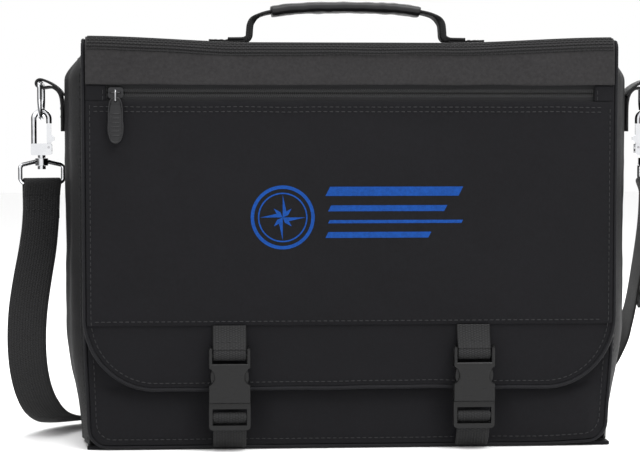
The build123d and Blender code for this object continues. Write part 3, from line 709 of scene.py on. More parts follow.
# ---------------- shoulder strap
strap_route = [
    ((-236, 3, 198.2), (0.91, 0.42, 0)),
    ((-236.4, 3, 177), (0.91, 0.42, 0)),
    ((-239, 2, 151), (0.95, 0.3, 0.04)),
    ((-244, 2, 125), (0.98, 0.18, 0.1)),
    ((-248, 3, 99), (1, 0.04, 0.15)),
    ((-249, 4, 72), (1, -0.05, 0.15)),
    ((-247, 8, 48), (0.98, -0.12, 0.2)),
    ((-242, 18, 28), (0.95, -0.2, 0.3)),
    ((-234, 34, 14), (0.85, -0.45, 0.3)),
    ((-225, 56, 8), (0.6, -0.75, 0.25)),
    ((-203, 77, 5), (0.25, -0.95, 0.12)),
    ((-169, 90, 3), (0, -1, 0.05)),
    ((-130, 98, 1.8), (-0.05, -1, 0)),
    ((-94, 104, 1.2), (-0.1, -1, 0)),
    ((-58, 109, 1.2), (-0.05, -1, 0)),
    ((-20, 112, 1.2), (0, -1, 0)),
    ((18, 112, 1.2), (0.05, -1, 0)),
    ((56, 109, 1.2), (0.1, -1, 0)),
    ((92, 104, 1.2), (0.15, -1, 0)),
    ((126, 99, 1.8), (0.2, -1, -0.02)),
    ((157, 95, 6), (0.2, -1, -0.1)),
    ((184, 92, 16), (0.3, -0.95, -0.3)),
    ((207, 87, 32), (0.35, -0.9, -0.45)),
    ((224, 77, 52), (0.3, -0.9, -0.5)),
    ((234, 64, 74), (0.1, -0.9, -0.45)),
    ((236, 49, 96), (0, -0.88, -0.46)),
    ((236, 34, 118), (0, -0.88, -0.46)),
    ((236, 20, 140), (0, -0.9, -0.42)),
    ((236, 9, 161), (0, -0.95, -0.3)),
    ((236, 3.8, 181), (0, -1, -0.1)),
    ((236, 3, 198.2), (0, -1, 0)),
]
strap_line = nurbs_points([Vector(point) * MM for point, _ in strap_route], 8)
strap_across = []
for i in range(len(strap_line)):
    place = i / (len(strap_line) - 1) * (len(strap_route) - 1)
    whole = min(int(place), len(strap_route) - 2)
    strap_across.append(Vector(strap_route[whole][1]).lerp(Vector(strap_route[whole + 1][1]), place - whole))
strap_length = sum((b - a).length for a, b in zip(strap_line, strap_line[1:]))
tape = tape_profile(30 * MM, STRAP)
strap = drawn("shoulder_strap_webbing", strap_line, strap_across, tape)
finish_piece(strap, "webbing", "webbing", "bag")
strap_pieces = []
for side, sign, turn in (("left", -1, 25), ("right", 1, 90)):
    # the end turned round the hook's loop bar, and sewn down
    bar = Vector((cos(radians(turn)), sin(radians(turn)), 0))
    middle = Vector((sign * CHAIN, CHAIN_Y, 201 * MM))
    ways = tangents(strap_line)
    end = 0 if side == "left" else len(strap_line) - 1
    face = ways[end].cross(strap_across[end]).normalized()
    ring = 2.8 * MM
    shape = [(-ring * cos(a), ring * sin(a)) for a in (radians(k * 15) for k in range(-2, 14))]
    if side == "left":
        shape = [(-1.75 * MM, -28 * MM), (-1.75 * MM, -16 * MM), (-2.2 * MM, -8 * MM)] + shape
    shape += [(1.6 * MM, -3.6 * MM), (0.3 * MM, -7 * MM), (0, -10 * MM)]
    fold_line = nurbs_points([middle + face * (a if side == "left" else -a) + Vector((0, 0, b))
                              for a, b in shape], 4)
    if side == "right":
        first = round(len(strap_line) * 26.6 / 30)
        back_run = [strap_line[i] + ways[i].cross(strap_across[i]).normalized() * ring
                    for i in range(first, len(strap_line) - 4)]
        fold_line = back_run + fold_line
        fold_across = strap_across[first:len(strap_line) - 4] + [bar * -1] * (len(fold_line) - len(back_run))
    else:
        fold_across = bar
    fold = finish_piece(drawn(f"{side}_strap_end", fold_line, fold_across, tape), "webbing", "webbing", "bag")
    strap_pieces.append(fold)
    if side == "left":
        rows = []
        for height in (-21, -13):
            centre = middle + face * 0.85 * MM + Vector((0, 0, height * MM))
            rows.append([centre + bar * t * MM for t in range(-13, 14)])
        for across in (-13, 13):
            rows.append([middle + face * 0.85 * MM + bar * across * MM + Vector((0, 0, z * MM))
                         for z in range(-21, -12)])
        strap_pieces.append(stitches("left_strap_stitches", rows, "bag", face))
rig.replaces(strap, "shoulder_strap")
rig.cord(strap, strap_line[0], strap_length, 30 * MM, "object", "medium", "loose",
        path=[tuple(p) for p in strap_line], with_pieces=strap_pieces + ["strap_adjuster"])


# ---------------- shapes of the cloth
def rise(x):
    """The top droops a little between the stiffer corners."""
    return 4.5 * MM * ease((abs(x) - 70 * MM) / (130 * MM))


def rounded_half(z, low, half, corner):
    """Half width of a panel at height z when its lower corners are rounded."""
    drop = low + corner - z
    return half if drop <= 0 else half - corner + sqrt(max(corner ** 2 - drop ** 2, 0))


def flap_wave(x, z):
    """How far the flap cloth stands forward of its flat face."""
    calm = ease((HALF - abs(x)) / (30 * MM)) * ease((z - FLAP_BOTTOM) / (18 * MM))
    calm *= ease((abs(z - ZIP) - 7 * MM) / (22 * MM)) * 0.9 + 0.1
    broad = 1.2 * ripple(x, 0.31, z, 11) + 0.55 * ripple(x, 0.77, z, 27) + 0.2 * ripple(x, 0.2, z, 70)
    return calm * broad * MM


def sag(x, z):
    """The flap's lower edge hangs a little unevenly."""
    hang = 0.9 * ripple(x, 0.15, 0, 9) + 0.5 * ripple(x, 0.6, 0, 24)
    return hang * MM * 1.6 * ease((SEAM + 10 * MM - z) / (40 * MM))


def drawn_in(point):
    """Move a point of the body to where the slack lower corners have sunk in."""
    low = ease((90 * MM - point.z) / (90 * MM)) * ease((abs(point.x) - 140 * MM) / (60 * MM))
    point.x -= (4.5 if point.x > 0 else 2.5) * MM * low * (1 if point.x > 0 else -1)
    point.z += (2.2 if point.x > 0 else 0.3) * MM * low
    return point


def flap_front(x, z):
    return FLAP_Y - flap_wave(x, z)


def low_front(x, z):
    return LOW_Y - 0.6 * flap_wave(x, z)


def face_sheet(name, low, high, half, corner, depth, thickness, look, body, steps=(120, 60), bend=0.0, out=-1,
               edge=0.0, power=1.0, shape=None):
    """Upright sheet whose outer face is at y = depth(x, z).  bend makes its top edge wavy."""
    def place(u, v):
        share = v ** power
        z = mix(low, high, share)
        width = rounded_half(z, low, half, corner) if corner else half
        x = (2 * u - 1) * width
        z += bend * share * ripple(x, 0.9, 0, 30)
        point = Vector((x, depth(x, z), z))
        return shape(point) if shape else point

    columns, rows = steps
    points = [place(i / columns, j / rows) for j in range(rows + 1) for i in range(columns + 1)]
    faces = grid_faces(columns, rows)
    if out > 0:
        faces = [quad[::-1] for quad in faces]
    piece = from_lists(name, points, faces, [(p.x, p.z) for p in points])
    thicken(piece, thickness, edge)
    return finish_piece(piece, look, "lining" if look == "lining" else "cloth", body)


def u_line(low, top, half, corner, depth, step=3 * MM):
    """Line down the left side of a panel, round its lower corners and up its right side."""
    corner_points = [(corner * (1 - cos(radians(a))), corner * (1 - sin(radians(a))))
                     for a in range(0, 91, 6)]
    left = [(-half, top + (low + corner - top) * k / 30) for k in range(30)]
    left += [(-half + a, low + b) for a, b in corner_points]
    middle = [(mix(-half + corner, half - corner, k / 60), low) for k in range(1, 60)]
    right = [(-x, z) for x, z in reversed(left)]
    line = [Vector((x, depth(x, z), z)) for x, z in left + middle + right]
    return even_line(line, step)


def crossed_box(corners):
    """Runs of stitches round a box and along its diagonals."""
    return [[a, b] for a, b in zip(corners, corners[1:] + corners[:1])] + [corners[0::2], corners[1::2]]


def row(z, half, depth, step=2 * MM, lift=ON_CLOTH, bend=0.0):
    """Level line across an upright sheet."""
    count = ceil(2 * half / step)
    line = []
    for k in range(count + 1):
        x = mix(-half, half, k / count)
        height = z + bend * ripple(x, 0.9, 0, 30)
        line.append(Vector((x, depth(x, height) - lift, height)))
    return line


FORWARD, BACKWARD, UPWARD = Vector((0, -1, 0)), Vector((0, 1, 0)), Vector((0, 0, 1))

# ---------------- flap: lower panels
flap_face = face_sheet("flap_face_cloth", SEAM, SLOT_LOW, HALF, 0, flap_front, 1.4 * MM, "cloth",
                       "flap_front", (150, 66), 0.5 * MM, edge=0.5 * MM)
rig.replaces(flap_face, "flap_panel")
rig.sheet(flap_face, (2 * HALF, SLOT_LOW - SEAM), "hung", ["flap_lower_panel"])
flap_low = face_sheet("flap_lower_cloth", FLAP_BOTTOM, SEAM + 6 * MM, HALF, FLAP_CORNER, low_front, 1.3 * MM,
                      "cloth", "flap_front", (130, 34), edge=0.4 * MM, power=1.4,
                      shape=lambda p: p + Vector((0, 0, sag(p.x, p.z))))
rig.replaces(flap_low, "flap_lower_panel")
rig.sheet(flap_low, (2 * HALF, SEAM + 6 * MM - FLAP_BOTTOM), "hung", [flap_face], area=0.0198)

# ---------------- flap: top and hem, one cloth over the crease
CREASE_R = 7.5 * MM
back_end = edge_of("flap_top_panel", 1, 1) - 1 * MM
crease_y = FLAP_Y + CREASE_R
crease_z = TOP - CREASE_R
top_run, crease_run, hem_run = back_end - crease_y, CREASE_R * pi / 2, crease_z - SLOT_HIGH
cover_run = top_run + crease_run + hem_run
blend_from, blend_to = (0, crease_y, TOP), (0, FLAP_Y, crease_z)


def cover_point(x, run, lift=0.0):
    """Point on the cloth over the flap's top and hem, run metres forward of its back edge."""
    up = rise(x)
    if run <= top_run:
        sag = 0.7 * MM * ripple(x, run, 0.4, 16) * swell(run / top_run)
        return Vector((x, back_end - run, TOP + up + sag + lift))
    if run <= top_run + crease_run:
        angle = (run - top_run) / CREASE_R
        radius = CREASE_R + lift
        return Vector((x, crease_y - radius * sin(angle), crease_z + up + radius * cos(angle)))
    down = run - top_run - crease_run
    share = down / hem_run
    z = crease_z - down + up * (1 - share) + 0.5 * MM * share * ripple(x, 0.4, 0, 34)
    return Vector((x, flap_front(x, z) - lift - 0.6 * MM * swell(share) * ripple(x, 0.1, 0, 20), z))


cover = surface("flap_cover_cloth", lambda u, v: cover_point((2 * u - 1) * HALF, v * cover_run),
                (2 * HALF, cover_run), (150, 84), 0)
thicken(cover, 1.4 * MM, 0.4 * MM)
# the top and hem take the lighter cover cloth, painted light for how they face the lamps
finish_piece(cover, "cover", "cloth")
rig.replaces(cover, "flap_top_panel", "flap_hem_panel")
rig.sheet(cover, (2 * HALF, cover_run), "folded", ["flap_top_panel"])
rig.blend(cover, "flap_top", "flap_front", blend_from, blend_to)


def edging(sign):
    """Side edge of the flap from its back to the crease and down to the zip."""
    line = []
    for k in range(60):
        run = cover_run * k / 59
        point = cover_point(sign * HALF, run, -1.5 * MM)
        point.x = sign * PIPE_X
        line.append(point)
    return line


flap_u = u_line(PIPE_Z, SLOT_HIGH - 2 * MM, PIPE_X, FLAP_CORNER + 1.7 * MM,
                lambda x, z: edge_of("flap_piping", 1, 0) + PIPE)
piping_line = edging(-1) + flap_u + list(reversed(edging(1)))
piping_line = [p + Vector((0, 0, sag(p.x, p.z))) if p.z < SEAM else p
               for p in even_line(piping_line, 2.5 * MM)]
piping = drawn("flap_piping_cord", piping_line, Vector((0.2, 0.7, 0.7)), round_profile(PIPE, 10))
finish_piece(piping, "piping", "piping")
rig.replaces(piping, "flap_piping", "top_piping")
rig.blend(piping, "flap_top", "flap_front", blend_from, blend_to)

# ---------------- flap stitching
INSET = 4.2 * MM


def flap_any(x, z):
    """Outer face of the flap at any height below the zip."""
    return flap_front(x, z) if z > SEAM else low_front(x, z)


edge_runs = [u_line(FLAP_BOTTOM + INSET - 1 * MM, SLOT_LOW - 3 * MM, HALF - INSET + 1 * MM,
                    FLAP_CORNER - INSET + 1 * MM, lambda x, z: flap_any(x, z) - ON_CLOTH)]
edge_runs = [[p + Vector((0, 0, sag(p.x, p.z))) for p in edge_runs[0]]]
edge_runs += [row(z, HALF - 6 * MM, flap_front, bend=0.5 * MM)
              for z in (SLOT_LOW - 4.5 * MM, SLOT_LOW - 8 * MM)]
edge_runs += [row(SEAM + 3 * MM, HALF - 6 * MM, flap_front)]
stitches("flap_stitches", edge_runs, "flap_front", FORWARD)
hem_runs = [[cover_point(mix(-HALF + 6 * MM, HALF - 6 * MM, k / 190), cover_run - back, ON_CLOTH)
             for k in range(191)]
            for back in (4 * MM, 7.5 * MM)]
stitches("hem_stitches", hem_runs, "flap_front", FORWARD)
side_runs = [[cover_point(sign * (HALF - 3.4 * MM), top_run * k / 50, ON_CLOTH) for k in range(51)]
             for sign in (-1, 1)]
stitches("top_stitches", side_runs, "flap_top", UPWARD)

# ---------------- zip
tape_y = edge_of("upper_zip_tape", 1, 0)
for name, sign in (("upper_zip_tape", 1), ("lower_zip_tape", -1)):
    inner, outer = 2.6 * MM, 10 * MM
    low, high = sorted((ZIP + sign * inner, ZIP + sign * outer))
    piece = face_sheet(name + "_cloth", low, high, 187 * MM, 0,
                       lambda x, z: tape_y + 0.15 * MM * ripple(x, 0.5, z, 40), 0.6 * MM, "zip_tape",
                       "flap_front", (120, 6))
    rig.slot(piece, "zip_tape")
    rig.replaces(piece, name)
coil_y = (edge_of("zip_coils", 1, 0) + edge_of("zip_coils", 1, 1)) / 2
coil_half = edge_of("zip_coils", 0, 1)
points, faces = [], []
for sign in (-1, 1):
    turns = int(2 * coil_half / (1.5 * MM))
    steps = turns * 9
    first = len(points)
    line = []
    for k in range(steps + 1):
        angle = 2 * pi * k / 9
        line.append(Vector((mix(-coil_half, coil_half, k / steps), coil_y - 0.6 * MM * sin(angle),
                            ZIP + sign * (1.95 * MM + 1.35 * MM * cos(angle)))))
    for centre, way in zip(line, tangents(line)):
        side = way.cross(Vector((1, 0, 0))).normalized()
        up = side.cross(way)
        for k in range(5):
            turn = 2 * pi * k / 5
            points.append(centre + (side * cos(turn) + up * sin(turn)) * 0.36 * MM)
    faces += ring_faces(steps + 1, 5, first)
coils = from_lists("zip_coil_teeth", points, faces, [(0, 0)] * len(points))
finish_piece(coils, "zip_teeth", "zip_teeth", "flap_front")
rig.replaces(coils, "zip_coils")
tabs = []
for sign in (-1, 1):
    low, high = sorted((sign * 183.5 * MM, sign * 198.4 * MM))
    tab = surface(f"zip_end_{'left' if sign < 0 else 'right'}",
                  lambda u, v: Vector((mix(low, high, u), FLAP_Y + 0.1 * MM - 0.3 * MM * swell(u),
                                       mix(SLOT_LOW, SLOT_HIGH, v))),
                  (high - low, SLOT_HIGH - SLOT_LOW), (12, 10), 1.4 * MM)
    tabs.append(finish_piece(tab, "cloth", "cloth", "flap_front"))
    inner = sign * 185.5 * MM
    stitches(f"zip_end_stitches_{'left' if sign < 0 else 'right'}",
             [[Vector((inner, FLAP_Y - 0.25 * MM, z)) for z in (SLOT_LOW + 0.5 * MM, SLOT_HIGH - 0.5 * MM)]],
             "flap_front", FORWARD)
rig.replaces(tabs[0], "zip_end_panels")

# raised rim and plain ribs on the rubber pull
pull_low, pull_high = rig.box("zip_pull")
pull_mid = (pull_low + pull_high) / 2
rim = [Vector((pull_mid.x + a, pull_low.y - 0.05 * MM, pull_mid.z + b))
       for a, b in oval_profile(10.2 * MM, 33 * MM, 3.2, 60)]
rim_piece = drawn("pull_rim", rim, Vector((0, 1, 0)), round_profile(0.55 * MM, 8), closed=True)
finish_piece(rim_piece, "pull_rubber", "pull_rubber", "pull")
for k in range(6):
    z = mix(pull_low.z + 6 * MM, pull_low.z + 22 * MM, k / 5)
    rib = [Vector((pull_mid.x + mix(-3.2, 3.2, i / 6) * MM, pull_low.y - 0.02 * MM, z)) for i in range(7)]
    finish_piece(drawn(f"pull_rib_{k}", rib, Vector((0, 0, 1)), round_profile(0.5 * MM, 8),
                       lambda s: (0.5 + 0.5 * swell(s, 0.4),) * 2), "pull_rubber", "pull_rubber", "pull")

# ---------------- blue mark: a compass and stripes, no letters
mark_points, mark_faces = [], []


def mark_quad(corners, across=1, along=1):
    """Quad of the mark, cut small enough to follow the cloth."""
    first = len(mark_points)
    for j in range(along + 1):
        for i in range(across + 1):
            low = [mix(corners[0][k], corners[1][k], i / across) for k in (0, 1)]
            high = [mix(corners[3][k], corners[2][k], i / across) for k in (0, 1)]
            x, z = (mix(low[k], high[k], j / along) for k in (0, 1))
            mark_points.append(Vector((x * MM, flap_front(x * MM, z * MM) - 0.12 * MM, z * MM)))
    mark_faces.extend(grid_faces(across, along, first))


MARK_X, MARK_Z = -52, 176
for radius, width in ((24, 2.6), (18.6, 1.1)):
    for k in range(72):
        a, b = 2 * pi * k / 72, 2 * pi * (k + 1) / 72
        corners = ((radius, a), (radius, b), (radius - width, b), (radius - width, a))
        mark_quad([(MARK_X + r * cos(t), MARK_Z + r * sin(t)) for r, t in corners])
for k in range(8):
    reach = 17 if k % 2 == 0 else 9.5
    way = radians(45 * k)
    tip = (MARK_X + reach * cos(way), MARK_Z + reach * sin(way))
    halfway = (mix(MARK_X, tip[0], 0.5), mix(MARK_Z, tip[1], 0.5))
    for hand in (-1, 1):
        waist = way + hand * radians(45 if k % 2 == 0 else 22)
        inner = (MARK_X + 4.4 * cos(waist), MARK_Z + 4.4 * sin(waist))
        if hand < 0:
            mark_quad([(MARK_X, MARK_Z), inner, tip, halfway], 3, 5)
        elif k % 2:
            mark_quad([(MARK_X, MARK_Z), halfway, tip, inner], 3, 5)
for k, (start, stop, thick) in enumerate(((-20, 84, 7), (-18, 72, 4.5), (-18, 84, 2.4), (-20, 60, 4.5))):
    z = (192, 180.5, 171.5, 160.5)[k]
    slant = thick * 0.5
    mark_quad([(start, z), (stop - slant, z), (stop, z + thick), (start + slant, z + thick)], 34, 2)
mark = from_lists("flap_mark", mark_points, mark_faces, [(p.x, p.z) for p in mark_points])
finish_piece(mark, "print", "cloth", "flap_front")

# ---------------- ribbed band, patches and handle
RIB = 2.1 * MM
band_start = back_end - edge_of("top_band", 1, 1)
band_stop = top_run + crease_run + 1.5 * MM
band_run = band_stop - band_start


def band_place(u, v):
    """Ribbed band over the front of the top and down round the crease, its ribs along X."""
    rib = abs(sin(pi * v * band_run / RIB))
    selvedge = ease(min(v, 1 - v) / 0.012)
    x = (2 * u - 1) * 197 * MM
    lift = (0.3 + 0.7 * selvedge + 1.1 * rib * selvedge) * MM
    return cover_point(x, band_start + v * band_run + 0.5 * MM * ripple(x, 0.7, 0, 26) * v, lift)


band = surface("top_band_webbing", band_place, (394 * MM, band_run), (100, 8 * round(band_run / RIB)), 0)
finish_piece(band, "band", "webbing")
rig.blend(band, "flap_top", "flap_front", blend_from, blend_to)
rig.replaces(band, "top_band")
for side, sign in SIDES:
    low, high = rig.box(f"{side}_handle_patch")
    for layer in (0, 1, 2):
        start, stop = (low.x + 1 * MM, high.x - 1 * MM) if not layer else (low.x + 0.2 * MM, high.x - 3 * MM)
        if sign > 0 and layer:
            start, stop = low.x + 3 * MM, high.x - 0.2 * MM
        level = low.z + (0.8 + 1.3 * layer) * MM
        line = [Vector((x, HANDLE_Y, level + rise(x))) for x in (mix(start, stop, k / 12) for k in range(13))]
        patch = drawn(f"{side}_patch_{layer}", line, Vector((0, 1, 0)),
                      tape_profile((27 - 1.5 * layer) * MM, 1.2 * MM))
        finish_piece(patch, "webbing", "webbing", "flap_top")
    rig.replaces(patch, f"{side}_handle_patch")
    x0, x1, y0, y1 = low.x + 4 * MM, high.x - 4 * MM, low.y + 3.5 * MM, high.y - 3.5 * MM
    corners = [Vector((x, y, high.z + 0.15 * MM + rise((x0 + x1) / 2)))
               for x, y in ((x0, y0), (x1, y0), (x1, y1), (x0, y1))]
    stitches(f"{side}_patch_stitches", crossed_box(corners), "flap_top", UPWARD)

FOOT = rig.box("handle_webbing")[0].z
arch = [(-92, 1.4), (-80, 1.4), (-75.5, 2.2), (-75.2, 8), (-74.5, 15), (-68, 20.5), (-56, 23.2), (-40, 25.4),
        (-20, 26.2), (0, 26.4)]
arch += [(-x, z) for x, z in reversed(arch[:-1])]
arch_line = nurbs_points([Vector((x * MM, HANDLE_Y, FOOT + z * MM)) for x, z in arch], 12)


def folded(share):
    """The webbing is flat under its patch, folded lengthwise at the foot and flat again in the sleeve."""
    near = min(share, 1 - share)
    foot = ease((near - 0.035) / 0.03) * ease((0.27 - near) / 0.06)
    return mix(1.0, 0.6, foot), mix(1.0, 2.2, foot)


handle_tape = drawn("handle_tape", arch_line, Vector((0, 1, 0)), tape_profile(WEBBING, 2.4 * MM), folded)
finish_piece(handle_tape, "webbing", "webbing")
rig.replaces(handle_tape, "handle_webbing")
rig.blend(handle_tape, "flap_top", "handle", (0, HANDLE_Y, FOOT + 1.5 * MM), (0, HANDLE_Y, FOOT + 10 * MM))
grip_half = edge_of("handle_grip", 0, 1)
grip_line = even_line([p for p in arch_line if abs(p.x) <= grip_half - 0.5 * MM], 1.5 * MM)
grip = drawn("handle_sleeve", grip_line, Vector((0, 1, 0)), oval_profile(29 * MM, 8.6 * MM, 3.0, 36),
             lambda s: (0.96 + 0.04 * swell(s, 0.5), 0.9 + 0.1 * ease(min(s, 1 - s) / 0.02)))
for vertex in grip.data.vertices:
    x, y, z = vertex.co
    wrinkle = 0.35 * ripple(x * 3, y, z, 60) + 0.25 * ripple(x, y * 2, z, 140)
    vertex.co.z += wrinkle * MM
finish_piece(grip, "grip", "grip", "handle")
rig.replaces(grip, "handle_grip")
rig.padded(grip, 0.7)

# ---------------- gussets
gusset_low, gusset_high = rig.box("right_gusset")
GUSSET_FRONT, GUSSET_BACK = gusset_low.y + 0.4 * MM, gusset_high.y - 0.2 * MM
GUSSET_TOP = TOP - 5 * MM
GUSSET_X = edge_of("right_gusset", 0, 1)


def gusset_point(sign, y, z):
    """Outer face of a gusset: swollen in the middle, drawn in at its seams and soft-creased."""
    t = (y - (GUSSET_FRONT + GUSSET_BACK) / 2) / ((GUSSET_BACK - GUSSET_FRONT) / 2)
    bow = max(0.0, 1 - abs(t) ** 2.2)
    foot = 0.45 + 0.55 * ease(z / (95 * MM))
    head = 1 - 0.92 * ease((z - 277 * MM) / (25 * MM))
    out = 1.4 * MM + (GUSSET_X - HALF - 1.4 * MM) * bow * foot * head
    at_tab = 1 - ease((abs(y - CHAIN_Y) - 12 * MM) / (8 * MM))
    at_tab *= 1 - ease((236 * MM - z) / (20 * MM))
    for place, strength, seed in ((-0.42, 1.0, 1.3), (0.4, 0.8, 4.1), (0.02, 0.5, 7.7)):
        drift = place + 0.12 * ripple(seed, 0, z, 7)
        crease = exp(-((t - drift) / 0.13) ** 2)
        out -= 2.6 * MM * strength * crease * (0.6 + 0.4 * ripple(seed, 3, z, 12)) * head * (1 - at_tab)
    out += (0.8 * ripple(y, seed, z, 22) + 0.35 * ripple(y, 2, z, 75)) * MM * bow * (1 - at_tab)
    out += 0.35 * MM * sin(z / (2.6 * MM)) * (abs(t) ** 8) * (1 - abs(t)) * 6
    height = z + 4 * MM * ease((z - 240 * MM) / (60 * MM))
    sunk = drawn_in(Vector((sign * HALF, y, height)))
    return Vector((sunk.x + sign * max(out, 0.6 * MM), y, sunk.z))


for side, sign in SIDES:
    def place(u, v, sign=sign):
        u = u if sign > 0 else 1 - u
        return gusset_point(sign, mix(GUSSET_FRONT, GUSSET_BACK, u), mix(3.4 * MM, GUSSET_TOP, v))

    depth, tall = 105 * MM, GUSSET_TOP - 3.4 * MM
    gusset = surface(f"{side}_gusset_cloth", place, (depth, tall), (56, 130), 1.3 * MM)
    # the gussets take the darkened gusset cloth, painted shade on the bag's sides
    finish_piece(gusset, "gusset", "cloth", "bag")
    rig.replaces(gusset, f"{side}_gusset")
    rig.sheet(gusset, (depth, tall), "gathered", ["base_panel"])
    runs, off = [], Vector((sign * ON_CLOTH, 0, 0))
    for y in (GUSSET_FRONT + 5 * MM, GUSSET_BACK - 5 * MM):
        runs.append([gusset_point(sign, y, mix(6 * MM, GUSSET_TOP - 4 * MM, k / 140)) + off
                     for k in range(141)])
    runs.append([gusset_point(sign, mix(GUSSET_FRONT, GUSSET_BACK, k / 60), GUSSET_TOP - 8 * MM) + off
                 for k in range(2, 59)])
    stitches(f"{side}_gusset_stitches", runs, "bag", Vector((sign, 0, 0)))
    top_line = [gusset_point(sign, mix(GUSSET_FRONT, GUSSET_BACK, k / 50), GUSSET_TOP)
                - Vector((sign * 0.65 * MM, 0, 0)) for k in range(51)]
    hem = drawn(f"{side}_gusset_binding", top_line, Vector((1, 0, 0)),
                oval_profile(3.0 * MM, 3.6 * MM, 2.4, 14))
    finish_piece(hem, "piping", "cloth", "bag")
    # ring tab, folded round the ring's bar and sewn to the gusset
    bag_side = CHAIN - TAB_X
    shape = [(bag_side / MM, z - RING_BAR) for z in (240.4, 250, 262)]
    shape += [(14.8, -6.5), (9, -2.2), (3.6, -2.9), (0.6, -3.2), (-2.4, -2.2), (-3.3, 0.2), (-2.2, 2.6),
              (0.4, 3.4), (4, 2.2), (9, -0.2), (15.2, -5), (16.9, -9)]
    line = nurbs_points([Vector((sign * (CHAIN - a * MM), CHAIN_Y, (RING_BAR + b) * MM)) for a, b in shape],
                        6)
    tab = drawn(f"{side}_tab_webbing", line, Vector((0, 1, 0)), tape_profile(WEBBING, 1.9 * MM))
    finish_piece(tab, "webbing", "webbing", "bag")
    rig.replaces(tab, f"{side}_ring_tab")
    x = sign * (CHAIN - bag_side + 1.0 * MM)
    box = [Vector((x, CHAIN_Y + a * MM, z * MM))
           for a, z in ((-9.5, 251), (9.5, 251), (9.5, 264), (-9.5, 264))]
    stitches(f"{side}_tab_stitches", crossed_box(box), "bag", Vector((sign, 0, 0)))

# ---------------- front pocket, back panel and pocket, base
def near_buckle(x):
    """1 under the buckle webbings, 0 well beside them."""
    return 1 - ease((abs(abs(x) - BUCKLES) - 15 * MM) / (22 * MM))


def pocket_front(x, z):
    """The pocket is flat behind the flap and puffs out below it, most at its corners."""
    below = swell((z - 2 * MM) / (46 * MM), 0.8)
    puff = 2.6 + 1.6 * ease((abs(x) - 120 * MM) / (60 * MM)) + 0.9 * ripple(x, 0.2, z, 16)
    puff *= below * (1 - near_buckle(x))
    puff *= ease((HALF - abs(x)) / (14 * MM))
    return POCKET_Y - puff * MM - 0.15 * MM * ripple(x, 0.6, z, 45)


def back_face(x, z):
    calm = ease((HALF - abs(x)) / (25 * MM)) * ease((z - 4 * MM) / (22 * MM))
    calm *= ease((296 * MM - z) / (18 * MM))
    return BACK_Y - 0.3 * MM + (0.2 + 0.5 * ripple(x, 0.35, z, 12)) * MM * calm


def back_pocket_face(x, z):
    calm = ease((193 * MM - abs(x)) / (22 * MM)) * ease((z - 9 * MM) / (22 * MM))
    slack = ease((z - 120 * MM) / (95 * MM))
    slack *= 1.6 * (0.5 + 0.5 * ripple(x, 1.9, 0, 13))
    return BACK_Y + 1.5 * MM + (0.9 + 1.0 * ripple(x, 0.9, z, 11) + slack) * MM * calm


pocket = face_sheet("front_pocket_cloth", 3.6 * MM, POCKET_TOP, HALF, BODY_CORNER, pocket_front, 1.3 * MM,
                    "cloth", "bag", (150, 70), 0.4 * MM, edge=0.4 * MM, power=1.5, shape=drawn_in)
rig.replaces(pocket, "front_pocket_panel")
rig.sheet(pocket, (2 * HALF, POCKET_TOP - 3.6 * MM), "hung", ["base_panel"])
pocket_runs = [row(z, HALF - 6 * MM, pocket_front) for z in (POCKET_TOP - 5 * MM, POCKET_TOP - 9 * MM)]
pocket_runs += [u_line(8 * MM, POCKET_TOP - 12 * MM, HALF - 4.2 * MM, BODY_CORNER,
                       lambda x, z: pocket_front(x, z) - ON_CLOTH)]
pocket_runs = [[drawn_in(p) for p in run] for run in pocket_runs]
stitches("pocket_stitches", pocket_runs, "bag", FORWARD)

back = face_sheet("back_padded_cloth", 3.9 * MM, 300 * MM, HALF, BODY_CORNER, back_face, 3.6 * MM, "cloth",
                  "bag", (120, 90), edge=0.6 * MM, out=1, power=1.2, shape=drawn_in)
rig.replaces(back, "back_panel")
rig.padded(back, 0.35)
back_pocket = face_sheet("back_pocket_cloth", 9.9 * MM, 215 * MM, 192 * MM, BODY_CORNER, back_pocket_face,
                         1.4 * MM, "cloth", "bag", (120, 70), 0.8 * MM, edge=0.4 * MM, out=1, power=1.3)
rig.replaces(back_pocket, "back_pocket")
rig.sheet(back_pocket, (384 * MM, 205 * MM), "hung", ["back_panel"])
back_runs = [row(z, 186 * MM, back_pocket_face, lift=-ON_CLOTH) for z in (210 * MM, 206 * MM)]
back_runs += [u_line(13.5 * MM, 212 * MM, 188.5 * MM, BODY_CORNER,
                     lambda x, z: back_pocket_face(x, z) + ON_CLOTH)]
stitches("back_pocket_stitches", back_runs, "bag", BACKWARD)
back_runs = [u_line(7.6 * MM, 296 * MM, HALF - 2.6 * MM, BODY_CORNER,
                    lambda x, z: back_face(x, z) + ON_CLOTH),
             row(288 * MM, HALF - 8 * MM, back_face, lift=-ON_CLOTH)]
stitches("back_stitches", [[drawn_in(p) for p in run] for run in back_runs], "bag", BACKWARD)

for name, node, y in (("front_body_piping", "front_piping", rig.box("front_piping")[0].y + PIPE),
                      ("back_body_piping", "back_piping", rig.box("back_piping")[1].y - PIPE)):
    base = edge_of(node, 2, 0) + PIPE
    line = u_line(base, 298 * MM, PIPE_X, 14 * MM, lambda x, z: y)
    line = [drawn_in(p + Vector((0, 0, 4 * MM * ease((p.z - 240 * MM) / (60 * MM))))) for p in line]
    cord_piece = drawn(name, line, Vector((0, 1, 0)), round_profile(PIPE, 10))
    finish_piece(cord_piece, "piping", "piping", "bag")
    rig.replaces(cord_piece, node)

base_low, base_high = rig.box("base_panel")
base = surface("base_cloth",
               lambda u, v: Vector((mix(base_low.x, base_high.x, u), mix(base_high.y, base_low.y, v),
                                    0.25 * MM + 0.2 * MM * abs(ripple(u * 0.4, v * 0.1, 0, 40)))),
               (base_high.x - base_low.x, base_high.y - base_low.y), (120, 30), 0)
thicken(base, 2.5 * MM, 0.5 * MM)
finish_piece(base, "cloth", "cloth", "bag")
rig.replaces(base, "base_panel")

